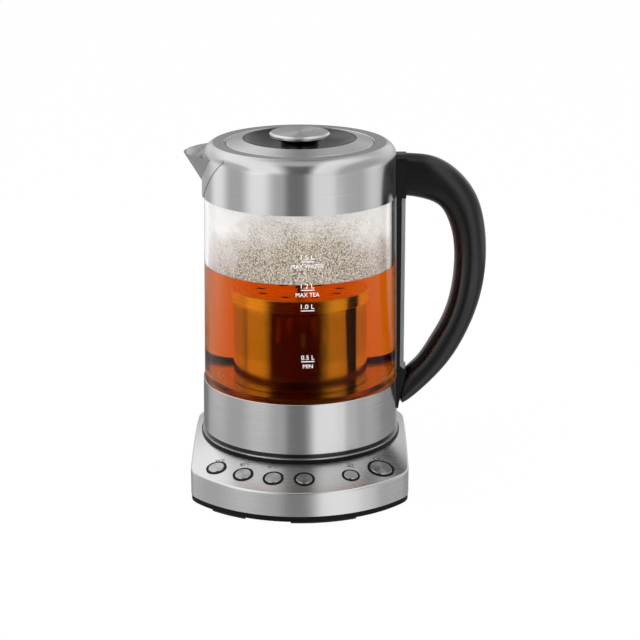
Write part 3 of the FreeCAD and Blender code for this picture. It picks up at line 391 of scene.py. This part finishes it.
@dataclass(frozen=True)
class Print:
    """Opaque printed ink, slightly worn, with an optional painted glow that makes it brighter than its light.
    """

    name: str
    colour: tuple
    painted_glow: float = 0.0

    def build(self) -> bpy.types.Material:
        """Make the material: small thin places in the ink, and the painted glow as an emission."""
        g = Graph(self.name)
        wear = g.noise(g.position(), 1500.0, 3.0, 0.6)
        # The emission is a painted glow: the ink gives off light of its own.
        shader = g.node("BsdfPrincipled", {}, {
            "Base Color": g.ramp(wear, [(0.25, tuple(c * 0.8 for c in self.colour)), (0.5, self.colour)]),
            "Roughness": g.level(wear, 0.55, 0.4), "Emission Color": (*self.colour, 1.0),
            "Emission Strength": self.painted_glow})
        return g.finish(shader.outputs[0])


def mesh_piece(name: str, points: np.ndarray, faces: list, smooth: bool = True) -> bpy.types.Object:
    """Object at the origin from points in millimetres.

    Args:
        name: name of the piece.
        points: array of shape (count, 3).
        faces: lists of point indices, facing outwards.
        smooth: whether its faces are shaded smooth.

    Returns:
        The new object, linked to the scene.
    """
    mesh = bpy.data.meshes.new(name)
    mesh.from_pydata((np.asarray(points) * MM).tolist(), [], faces)
    mesh.update()
    mesh.polygons.foreach_set("use_smooth", np.full(len(mesh.polygons), smooth))
    made = bpy.data.objects.new(name, mesh)
    bpy.context.scene.collection.objects.link(made)
    return made


def ring_faces(rows: int, columns: int, first: int = 0) -> np.ndarray:
    """Quads between the rows of a grid of points whose columns run round a ring.

    Args:
        rows: number of rows of points.
        columns: number of points in a row.
        first: index of the grid's first point.

    Returns:
        Array of shape (count, 4).
    """
    row = np.arange(rows - 1)[:, None]
    column = np.arange(columns)[None, :]
    after = (column + 1) % columns
    base = first + row * columns
    above = base + columns
    quads = np.stack([base + column, base + after, above + after, above + column], axis=-1)
    return quads.reshape(-1, 4)


def ring_points(profile: np.ndarray, turn: np.ndarray) -> np.ndarray:
    """Points (r cos t, r sin t, z) for every profile point (r, z) and turn t, row by row.

    Args:
        profile: array of (radius, height) in millimetres.
        turn: angles round the axis.

    Returns:
        Array of shape (rows x turns, 3).
    """
    radius, height = profile[:, :1], np.broadcast_to(profile[:, 1:], (len(profile), len(turn)))
    return np.stack([radius * np.cos(turn), radius * np.sin(turn), height], axis=-1).reshape(-1, 3)


def turned(name: str, profile: np.ndarray, segments: int) -> bpy.types.Object:
    """Closed body of revolution about Z, from a profile that starts and ends on the axis.

    The profile runs upwards on the outside. Its two end points on the axis are joined to the rows
    next to them by fans of triangles.

    Args:
        name: name of the piece.
        profile: array of (radius, height) in millimetres.
        segments: number of steps round the axis.

    Returns:
        The new object.
    """
    turn = np.linspace(0, 2 * np.pi, segments, endpoint=False)
    inner = profile[1:-1]
    grid = ring_points(inner, turn)
    points = np.vstack([grid, [[0, 0, profile[0, 1]], [0, 0, profile[-1, 1]]]])
    low, high = len(grid), len(grid) + 1
    faces = ring_faces(len(inner), segments).tolist()
    last = (len(inner) - 1) * segments
    step = np.arange(segments)
    after = (step + 1) % segments
    faces += np.stack([np.full(segments, low), after, step], axis=-1).tolist()
    faces += np.stack([np.full(segments, high), last + step, last + after], axis=-1).tolist()
    return mesh_piece(name, points, faces)


def flat_text(text: str, height: float, width: float) -> tuple[np.ndarray, list]:
    """Outline letters as a flat mesh, centred on zero, in millimetres.

    Args:
        text: what it says.
        height: height of a capital letter.
        width: width of the whole text.

    Returns:
        Array of (x, y) points and a list of faces.
    """
    curve = bpy.data.curves.new("letters", "FONT")
    curve.body = text
    curve.resolution_u = 3
    holder = bpy.data.objects.new("letters", curve)
    bpy.context.scene.collection.objects.link(holder)
    bpy.context.view_layer.update()
    mesh = bpy.data.meshes.new_from_object(holder)
    points = np.array([v.co for v in mesh.vertices], float).reshape(-1, 3)[:, :2]
    faces = [list(p.vertices) for p in mesh.polygons]
    bpy.data.objects.remove(holder)
    bpy.data.curves.remove(curve)
    bpy.data.meshes.remove(mesh)
    low, high = points.min(0), points.max(0)
    points -= (low + high) / 2
    return points * (width / (high[0] - low[0]), height / FONT_CAPITAL), faces


def bar(x: float, y: float, length: float, thickness: float) -> tuple[np.ndarray, list]:
    """Flat level bar as points and faces, cut into short steps so that it can follow a curve."""
    steps = x + np.linspace(-length / 2, length / 2, 9)
    rows = [np.column_stack([steps, np.full(9, y + side * thickness / 2)]) for side in (-1, 1)]
    return np.vstack(rows), [[i, i + 1, 10 + i, 9 + i] for i in range(8)]


def stroke(path: np.ndarray, thickness: float) -> tuple[np.ndarray, list]:
    """Flat ribbon of even thickness along a path: the path moved to both sides along its normal."""
    along = np.gradient(path, axis=0)
    along /= np.linalg.norm(along, axis=1)[:, None]
    side = np.stack([-along[:, 1], along[:, 0]], axis=-1) * thickness / 2
    count = len(path)
    points = np.vstack([path - side, path + side])
    return points, [[i, i + 1, count + i + 1, count + i] for i in range(count - 1)]


def gather(parts: list) -> tuple[np.ndarray, list]:
    """Several flat meshes as one."""
    points, faces, first = [], [], 0
    for part_points, part_faces in parts:
        points.append(part_points)
        faces += [[first + i for i in face] for face in part_faces]
        first += len(part_points)
    return np.vstack(points), faces


def shifted(part: tuple[np.ndarray, list], x: float, y: float) -> tuple[np.ndarray, list]:
    """Flat mesh moved sideways and up."""
    return part[0] + (x, y), part[1]


@dataclass
class Liquid:
    """Tea in the jug, and what shows of it on the glass."""

    level: float = 162.6
    wall_overlap: float = 0.12
    floor_overlap: float = 0.05
    meniscus: float = 0.3
    meniscus_reach: float = 1.3
    corner: float = 0.15
    mist_high: float = 212.4
    mist_gap: float = 0.4
    mist_thickness: float = 0.15
    segments: int = 256

    def tea(self) -> bpy.types.Object:
        """Body of tea: it lies on the jug's floor, wets the glass and rises a little where it meets it.

        Extra points close to the corners of the wall keep its smooth shading upright up to them.
        """
        top = self.level + self.meniscus
        height = np.array([JUG_FLOOR, JUG_FLOOR + self.corner, *np.linspace(JUG_FLOOR + 6, top - 6, 12),
                           top - self.corner, top])
        wall = np.stack([glass_inner(height) + self.wall_overlap, height], axis=-1)
        edge = glass_inner(np.array(self.level)) + self.wall_overlap
        inward = np.linspace(0.25, 5.0, 9)
        climb = self.level + self.meniscus * np.exp(-inward / self.meniscus_reach)
        surface = np.stack([edge - inward, climb], axis=-1)
        foot = np.array([[0.0, PLATEAU_TOP], [20.0, PLATEAU_TOP], [PLATEAU_RADIUS, PLATEAU_TOP],
                         [FLOOR_INNER_RADIUS, JUG_FLOOR], [FLOOR_OUTER_RADIUS, JUG_FLOOR]])
        foot[:, 1] -= self.floor_overlap
        middle = np.array([[50.0, self.level], [25.0, self.level], [0.0, self.level]])
        return turned("tea", np.vstack([foot, wall, surface, middle]), self.segments)

    def mist(self) -> bpy.types.Object:
        """Thin closed sleeve just inside the glass, from the tea up to the collar."""
        height = np.linspace(self.level + self.mist_gap, self.mist_high, 24)
        outer = np.stack([glass_inner(height) - self.mist_gap, height], axis=-1)
        inner = (outer - (self.mist_thickness, 0.0))[::-1]
        profile = np.vstack([outer, inner, outer[:1]])
        turn = np.linspace(0, 2 * np.pi, self.segments, endpoint=False)
        return mesh_piece("condensed_mist", ring_points(profile, turn),
                          ring_faces(len(profile), self.segments).tolist())

    def build(self) -> None:
        """Make and dress the liquid pieces."""
        for piece, finish in ((self.tea(), Tea("black_tea")), (self.mist(), Mist("water_mist"))):
            piece.data.materials.append(finish.build())
            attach(piece, "jug")
            log.info("made %s", piece.name)


@dataclass
class LitreScale:
    """White litre marks printed on the glass."""

    angle: float = math.radians(4.9)
    proud: float = 0.06
    letter: float = 3.3
    number_width: float = 9.4
    number_rise: float = 3.0
    word_letter: float = 3.036
    word_drop: float = 3.4
    line: float = 9.6
    line_thickness: float = 0.55

    def build(self) -> None:
        """Print each mark: a number, a line and a word, laid round the glass."""
        marks = [(180.1, "1.5 L", "MAX WATER", 22.6), (159.7, "1.2 L", "MAX TEA", 16.6),
                 (144.8, "1.0 L", "", 0.0), (107.6, "0.5 L", "MIN", 7.0)]
        parts = []
        for z, number, word, width in marks:
            parts.append(bar(0.0, z, self.line, self.line_thickness))
            figures = flat_text(number, self.letter, self.number_width)
            parts.append(shifted(figures, 0.0, z + self.number_rise))
            if word:
                parts.append(shifted(flat_text(word, self.word_letter, width), 0.0, z - self.word_drop))
        flat, faces = gather(parts)
        radius = glass_outer(flat[:, 1]) + self.proud
        theta = -np.pi / 2 + self.angle + flat[:, 0] / radius
        points = np.stack([radius * np.cos(theta), radius * np.sin(theta), flat[:, 1]], axis=-1)
        piece = mesh_piece("litre_scale", points, faces, smooth=False)
        # The white ink has a painted glow, so the marks read brighter than their light makes them.
        piece.data.materials.append(Print("white_ink", (0.9, 0.9, 0.9), 0.35).build())
        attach(piece, "jug")
        log.info("made %s", piece.name)


@dataclass
class PanelMarks:
    """Dark marks printed on the base's panel, above the buttons."""

    letter: float = 3.2
    proud: float = 0.12

    def symbols(self) -> list:
        """Wavy steam lines over a bar for keeping warm, and a broken ring with a bar for the power."""
        rise = np.linspace(-1.8, 1.8, 17)
        waves = [stroke(np.stack([x + 0.35 * np.sin(rise * 2.6), rise + 0.5], axis=-1), 0.4)
                 for x in (-1.6, 0, 1.6)]
        steam = gather(waves + [bar(0.0, -2.0, 4.8, 0.45)])
        turn = np.radians(np.linspace(125, 415, 33))
        arc = stroke(np.stack([2.1 * np.cos(turn), 2.1 * np.sin(turn)], axis=-1), 0.45)
        middle = stroke(np.stack([np.zeros(5), np.linspace(0.2, 2.9, 5)], axis=-1), 0.45)
        return [(steam, (36.2, -70.9)), (gather([arc, middle]), (55.2, -57.8))]

    def build(self) -> None:
        """Lay every mark on the sloping panel."""
        places = [("70°C", (-57.3, -60.0)), ("80°C", (-39.0, -69.0)), ("90°C", (-19.1, -75.5)),
                  ("100°C", (3.8, -76.5))]
        marks = [(flat_text(text, self.letter, 1.75 * len(text)), place) for text, place in places]
        flat, faces = gather([shifted(part, *place) for part, place in marks + self.symbols()])
        height = panel_height(np.hypot(flat[:, 0], flat[:, 1])) + self.proud
        piece = mesh_piece("panel_marks", np.column_stack([flat, height]), faces, smooth=False)
        piece.data.materials.append(Print("dark_ink", (0.05, 0.05, 0.055)).build())
        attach(piece, "base")
        log.info("made %s", piece.name)


@dataclass
class BasketMesh:
    """Finely pierced wall of the tea basket."""

    radius: float = 36.2
    sheet: float = 0.6
    low: float = 78.7
    high: float = 144.1
    band_low: float = 97.0
    band_high: float = 131.8
    rows: int = 20
    columns: int = 120
    hole_share: float = 0.27

    def wall(self) -> bpy.types.Object:
        """Pierced wall: cells round the basket, each with an eight-sided hole, and plain sheet above and below.

        A cell's frame runs between its square outline and the hole. Both faces and the holes' edges are
        made from the same grid of cells, moved half a cell in every other row.
        """
        cell_z = (self.band_high - self.band_low) / self.rows
        cell_t = 2 * np.pi / self.columns
        turn = np.radians(np.arange(8) * 45.0)
        square = np.array([(1, 0), (1, 1), (0, 1), (-1, 1), (-1, 0), (-1, -1), (0, -1), (1, -1)]) / 2
        hole = np.column_stack([np.cos(turn), np.sin(turn)]) * self.hole_share
        row, column = np.meshgrid(np.arange(self.rows), np.arange(self.columns), indexing="ij")
        shift = 0.5 * (row % 2)
        centre_t = ((column + shift) * cell_t).reshape(-1, 1)
        centre_z = (self.band_low + (row + 0.5) * cell_z).reshape(-1, 1)

        def loop(shape: np.ndarray, radius: float) -> np.ndarray:
            """Outline of every cell on a cylinder."""
            theta = centre_t + shape[:, 0] * cell_t
            z = centre_z + shape[:, 1] * cell_z
            return np.stack([radius * np.cos(theta), radius * np.sin(theta), z], axis=-1)

        inner_r = self.radius - self.sheet
        layers = [loop(square, self.radius), loop(hole, self.radius), loop(hole, inner_r),
                  loop(square, inner_r)]
        points = np.concatenate(layers, axis=1)
        step = np.arange(8)
        after = (step + 1) % 8
        local = np.vstack([np.stack([low + step, low + after, low + 8 + after, low + 8 + step], axis=-1)
                           for low in (0, 8, 16)])
        first = (np.arange(points.shape[0]) * points.shape[1])[:, None, None]
        faces = (first + local[None]).reshape(-1, 4).tolist()
        cells = points.reshape(-1, 3)
        plain_points, plain_faces = [cells], faces
        count = len(cells)
        around = np.linspace(0, 2 * np.pi, self.columns * 2, endpoint=False)
        for low, high in ((self.low, self.band_low), (self.band_high, self.high)):
            profile = np.array([[self.radius, low], [self.radius, high], [inner_r, high], [inner_r, low],
                                [self.radius, low]])
            grid = ring_points(profile, around)
            plain_points.append(grid)
            plain_faces += ring_faces(len(profile), len(around), count).tolist()
            count += len(grid)
        return mesh_piece("pierced_basket_wall", np.vstack(plain_points), plain_faces, smooth=False)

    def build(self, steel: bpy.types.Material) -> None:
        """Make the wall and put it in the place of the plain one.

        Args:
            steel: finish of the basket.
        """
        piece = self.wall()
        piece.data.materials.append(steel)
        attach(piece, "basket")
        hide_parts("basket_wall")
        log.info("made %s", piece.name)


BUTTON_ANGLES = {"button_1": -41.1, "button_2": -26.2, "button_3": -11.8,
                 "button_4": 2.2, "button_5": 23.7, "button_6": 39.9}
BUTTON_CIRCLE = 90.6


@dataclass
class Finishes:
    """Finish of every node of the model."""

    def plain(self) -> dict:
        """Materials by name."""
        made = {
            "base": BrushedSteel("base_brushed_steel", Grain.ALONG, (0.72, 0.72, 0.722), 0.25, 0.5, 0.03),
            "band": BrushedSteel("jug_brushed_steel", Grain.ROUND, (0.64, 0.64, 0.642), 0.2, 0.6, 0.05),
            "lid": BrushedSteel("lid_spun_steel", Grain.ROUND, (0.68, 0.68, 0.682), 0.33, 0.9, 0.05),
            "knob": BrushedSteel("knob_spun_steel", Grain.ROUND, (0.72, 0.72, 0.722), 0.3, 0.8, 0.05),
            "spout": BrushedSteel("spout_brushed_steel", Grain.ALONG, (0.62, 0.62, 0.622), 0.28, 0.3, 0.015),
            # Painted shade and light: the basket's wall and base are a darker, warmer copy of the steel, and
            # its lid and knob a lighter, warmer copy, so that the lid stands out from the shade under it.
            "basket": BrushedSteel("basket_steel", Grain.ROUND, (0.60, 0.57, 0.52), 0.14, 0.5, 0.06),
            "basket_lid": BrushedSteel("lit_basket_lid_steel", Grain.ROUND, (0.88, 0.85, 0.78), 0.26, 0.5, 0.06),
            "plate": BrushedSteel("plate_steel", Grain.ROUND, (0.60, 0.60, 0.60), 0.25, 0.6, 0.1),
            "gloss": Plastic("gloss_black_plastic", (0.005, 0.005, 0.0055), 0.14, 0.02, sheen_level=0.4),
            "matt": Plastic("matt_black_plastic", (0.004, 0.004, 0.0045), 0.45, 0.1, sheen_level=0.15),
            "satin": Plastic("satin_black_plastic", (0.004, 0.004, 0.0045), 0.2, 0.02, variation=0.03),
            # Painted highlight: the strap's lit side face is a grey copy of the black handle plastic.
            "grey": Plastic("painted_highlight_trim", (0.30, 0.31, 0.32), 0.3, 0.05),
            "dark": Plastic("dark_moulded_plastic", (0.035, 0.035, 0.038), 0.45, 0.2),
            "pale": Plastic("pale_moulded_plastic", (0.72, 0.70, 0.64), 0.4, 0.15),
            "board": Plastic("green_lacquered_board", (0.03, 0.16, 0.07), 0.3, 0.3, 500.0),
            "core": Plastic("lacquered_core", (0.16, 0.15, 0.15), 0.5, 0.5, 700.0),
            "seal": Plastic("translucent_silicone", (0.70, 0.70, 0.69), 0.35, 0.05),
            "rubber": Plastic("black_rubber", (0.02, 0.02, 0.02), 0.7, 0.4),
            "brass": PlainMetal("contact_brass", (0.78, 0.60, 0.28), 0.28),
            "screw": PlainMetal("plated_screw", (0.55, 0.55, 0.56), 0.3),
            "aluminium": PlainMetal("cast_aluminium", (0.75, 0.76, 0.77), 0.42),
            "glass": ClearGlass("clear_glass"),
        }
        return {name: finish.build() for name, finish in made.items()}

    def build(self) -> dict:
        """Dress every node of the model.

        Returns:
            The materials by name.
        """
        looks = self.plain()
        groups = {
            "base": ["base_cover"],
            "band": ["lower_band", "upper_collar"],
            "lid": ["lid_ring", "seat_trim_ring"],
            "knob": ["knob_cap"],
            "spout": ["spout"],
            # The basket's wall and base take the shaded copy of its steel, and its lid and knob take the lit
            # copy.
            "basket": ["basket_wall", "basket_base"],
            "basket_lid": ["basket_lid", "basket_knob"],
            "plate": ["spout_filter", "heating_plate", "heating_element"],
            "gloss": ["lid_dish", "knob_stem", "jug_underside"],
            "matt": ["base_tray", "seat_dish", "button_bezels"],
            "satin": ["cord_gland", "handle_bracket", "grip_inner_shell", "grip_outer_cover"],
            # The strap trim carries the painted highlight of the strap's lit side.
            "grey": ["strap_trim"],
            "dark": ["lid_plug", "power_plug", "push_switches", "relay"],
            "pale": ["jug_socket", "thermal_cutout"],
            "board": ["control_board", "power_board"],
            "core": ["transformer"],
            "seal": ["upper_seal", "lower_seal", "lid_seal"],
            "rubber": ["rubber_feet"],
            "brass": ["plug_contacts", "socket_contacts", "temperature_sensor"],
            "screw": ["base_screws", "handle_screws"],
            "aluminium": ["heat_diffuser"],
            "glass": ["glass_wall"],
        }
        for look, nodes in groups.items():
            for node in nodes:
                self.dress(node, looks[look])
        for button, angle in BUTTON_ANGLES.items():
            turn = math.radians(angle)
            centre = (BUTTON_CIRCLE * math.sin(turn), -BUTTON_CIRCLE * math.cos(turn), 0.0)
            steel = BrushedSteel(button + "_spun_steel", Grain.ROUND, (0.5, 0.5, 0.502), 0.24, 0.95, 0.05,
                                 centre)
            self.dress(button + "_cap", steel.build())
            self.dress(button + "_plunger", looks["dark"])
        log.info("dressed the model")
        return looks

    def dress(self, node: str, material: bpy.types.Material) -> None:
        """Give a node its material."""
        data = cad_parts[node].data
        data.materials.clear()
        data.materials.append(material)


# Soft studio panels and dark flags round the model: the level between them, then start, end, brightness and
# width of the soft edge of each, in degrees from the front towards the right
BAND_PANELS = (0.55, [(-165, -145, 0.2, 12), (-13, 5, 0.2, 6), (17, 52, 1.35, 6), (110, 150, 0.25, 25)])
COLLAR_PANELS = (0.55, [(-118, -104, 1.2, 14), (-58, -42, 1.3, 14), (-13, 5, 0.2, 6), (17, 40, 0.95, 6),
                        (92, 104, 0.95, 14)])
BASE_PANELS = (0.4, [(-10, 8, 0.27, 6), (20, 70, 0.9, 6)])


# What the basket mirrors through the tea: direction in degrees, as above, and brightness or colour
DIM_TEA = (0.4, 0.2, 0.1)
INNER_VIEW = [(-180, 1.1), (-140, 1.1), (-128, 0.6), (-116, 1.3), (-76, 1.1), (-58, (0.07, 0.006, 0.004)),
              (-20, (0.09, 0.01, 0.004)), (38, (0.05, 0.004, 0.002)), (52, 0.4), (66, 1.0), (100, 0.9),
              (108, DIM_TEA), (126, DIM_TEA), (134, 1.2), (180, 1.1)]
# Above the horizon in front: degrees to the left or right, and brightness
HIGH_VIEW = [(-90, 0.6), (-62, 0.6), (-54, 1.2), (-24, 1.1), (-16, 0.55), (-11, 0.17), (10, 0.12),
             (14, 0.5), (18, 1.15), (38, 1.0), (50, 0.5), (90, 0.5)]
# Behind and overhead: share of the way from left to right, and brightness
FAR_VIEW = [(0.0, 0.65), (0.35, 0.9), (0.44, 0.4), (0.5, 0.3), (0.56, 0.4), (0.65, 0.9), (1.0, 0.65)]
OVERHEAD_VIEW = [(0.0, 1.2), (0.40, 1.2), (0.46, 0.5), (0.5, 0.2), (0.53, 0.35), (0.6, 0.55), (1.0, 0.6)]


def panel_stops(dim: float, panels: list) -> list:
    """Stops of a ramp right round the model: each panel rises from the dim level and falls back to it.

    Args:
        dim: brightness between the panels.
        panels: start, end, brightness and soft edge of each, from left to right.

    Returns:
        Pairs of place on the ramp and brightness.
    """
    stops = [(-180, dim)]
    for start, end, bright, soft in panels:
        stops += [(start - soft, dim), (start, bright), (end, bright), (end + soft, dim)]
    stops.append((180, dim))
    return [(degrees / 360 + 0.5, level) for degrees, level in stops]


@dataclass
class Studio:
    """White sweep, plain soft light and the camera."""

    camera_place: tuple = (0.01457, -1.4, 0.5393)
    camera_pitch: float = 73.22
    lens: float = 111.8
    floor_share: float = 0.985
    floor_half: float = 60000.0
    floor_level: float = -0.4

    def floor(self) -> None:
        """White floor that shows only a faint shadow to the camera."""
        g = Graph("white_floor")
        path = g.node("LightPath")
        seen = g.math("MAXIMUM", path.outputs["Is Camera Ray"], path.outputs["Is Transmission Ray"])
        paint = g.node("BsdfDiffuse", {}, {"Color": (0.9, 0.9, 0.9, 1.0)}).outputs[0]
        white = g.node("Emission", {}, {"Color": (1.0, 1.0, 1.0, 1.0), "Strength": 1.0}).outputs[0]
        amount = g.math("MULTIPLY", seen, self.floor_share)
        mixed = g.node("MixShader", {}, {0: amount, 1: paint, 2: white}).outputs[0]
        mirrored = g.math("GREATER_THAN", path.outputs["Glossy Depth"], 0.5)
        clear = g.node("BsdfTransparent", {}, {}).outputs[0]
        shown = g.node("MixShader", {}, {0: mirrored, 1: mixed, 2: clear}).outputs[0]
        half, level = self.floor_half, self.floor_level
        corners = np.array([[-half, -half, level], [half, -half, level], [half, half, level],
                            [-half, half, level]])
        piece = mesh_piece("floor", corners, [[0, 1, 2, 3]], smooth=False)
        piece.data.materials.append(g.finish(shown))
        piece.visible_glossy = False

    def world(self) -> None:
        """White world, with soft brighter and darker stretches all round for the steel to show."""
        world = bpy.data.worlds.new("studio")
        bpy.context.scene.world = world
        world.use_nodes = True
        tree = world.node_tree
        tree.nodes.clear()
        g = Graph.__new__(Graph)
        g.tree = tree
        way = g.node("SeparateXYZ", {}, {0: g.node("TexCoord").outputs["Generated"]})
        x, y, z = way.outputs[0], way.outputs[1], way.outputs[2]
        turn = g.math("ARCTAN2", x, g.math("MULTIPLY", y, -1.0))
        around = g.math("ADD", g.math("DIVIDE", turn, 2 * math.pi), 0.5)
        aside = g.math("ADD", g.math("DIVIDE", g.math("ARCSINE", x), math.pi), 0.5)
        sideways = g.level(x, 0.0, 1.0, -1.0, 1.0)
        band, collar, base = (g.ramp(around, panel_stops(*panels))
                              for panels in (BAND_PANELS, COLLAR_PANELS, BASE_PANELS))
        inner = g.ramp(around, [(degrees / 360 + 0.5, level) for degrees, level in INNER_VIEW])
        high = g.ramp(aside, [(degrees / 180 + 0.5, level) for degrees, level in HIGH_VIEW])
        behind = g.mix(g.level(z, 0.0, 1.0, 0.36, 0.6), g.ramp(sideways, FAR_VIEW),
                       g.ramp(sideways, OVERHEAD_VIEW))
        upper = g.mix(g.level(y, 0.0, 1.0, 0.2, 0.7), high, behind)
        zenith = g.math("MULTIPLY", g.level(z, 0.0, 1.0, 0.86, 0.93), g.level(y, 0.4, 0.0, 0.2, 0.45))
        domed = g.mix(zenith, upper, (1.2, 1.2, 1.2, 1.0))
        steep = g.mix(g.level(z, 1.0, 0.0, -0.365, -0.35), band, base)
        low = g.mix(g.level(z, 0.0, 1.0, -0.29, -0.25), steep, collar)
        outside = g.mix(g.level(z, 0.0, 1.0, -0.02, 0.16), low, domed)
        path = g.node("LightPath")
        whole = g.mix(path.outputs["Is Transmission Ray"], outside, inner)
        straight = g.math("LESS_THAN", path.outputs["Glossy Depth"], 0.5)
        through = g.math("MULTIPLY", path.outputs["Is Transmission Ray"], straight)
        seen = g.math("MAXIMUM", path.outputs["Is Camera Ray"], through)
        soft = g.node("Background", {}, {"Color": whole, "Strength": 1.0}).outputs[0]
        white = g.node("Background", {}, {"Color": (1.0, 1.0, 1.0, 1.0), "Strength": 1.0}).outputs[0]
        mixed = g.node("MixShader", {}, {0: seen, 1: soft, 2: white}).outputs[0]
        g.node("OutputWorld", {}, {"Surface": mixed})

    def lamp(self, name: str, place: tuple, aim: tuple, size: float, power: float) -> None:
        """Square lamp.

        Args:
            name: name of the lamp.
            place: its place in metres.
            aim: the point it faces.
            size: length of its side in metres.
            power: its power in watts.
        """
        data = bpy.data.lights.new(name, "AREA")
        data.size = size
        data.energy = power
        made = bpy.data.objects.new(name, data)
        made.location = place
        made.rotation_euler = (Vector(aim) - Vector(place)).to_track_quat("-Z", "Y").to_euler()
        made.visible_camera = False
        made.visible_glossy = False
        made.visible_transmission = False
        bpy.context.scene.collection.objects.link(made)

    def build(self) -> None:
        """Set up the stage."""
        self.floor()
        self.world()
        self.lamp("top_lamp", (0.0, -0.2, 1.5), (0.0, 0.0, 0.1), 1.2, 9.0)
        self.lamp("left_lamp", (-1.1, -0.9, 0.9), (0.0, 0.0, 0.12), 0.8, 6.0)
        data = bpy.data.cameras.new("camera")
        data.lens = self.lens
        data.sensor_width = 36.0
        camera = bpy.data.objects.new("camera", data)
        camera.location = self.camera_place
        camera.rotation_euler = (math.radians(self.camera_pitch), 0.0, 0.0)
        bpy.context.scene.collection.objects.link(camera)
        scene = bpy.context.scene
        scene.camera = camera
        scene.view_settings.view_transform = "Standard"
        scene.cycles.max_bounces = 24
        scene.cycles.transmission_bounces = 20
        scene.cycles.glossy_bounces = 8
        scene.cycles.transparent_max_bounces = 16
        log.info("stage ready")


def main() -> None:
    """Dress the model, add the pieces that only the looks need, and set up the stage."""
    logging.basicConfig(level=logging.INFO, format="%(name)s: %(message)s")
    looks = Finishes().build()
    Liquid().build()
    LitreScale().build()
    PanelMarks().build()
    BasketMesh().build(looks["basket"])
    Studio().build()


if __name__ == "__main__":
    main()
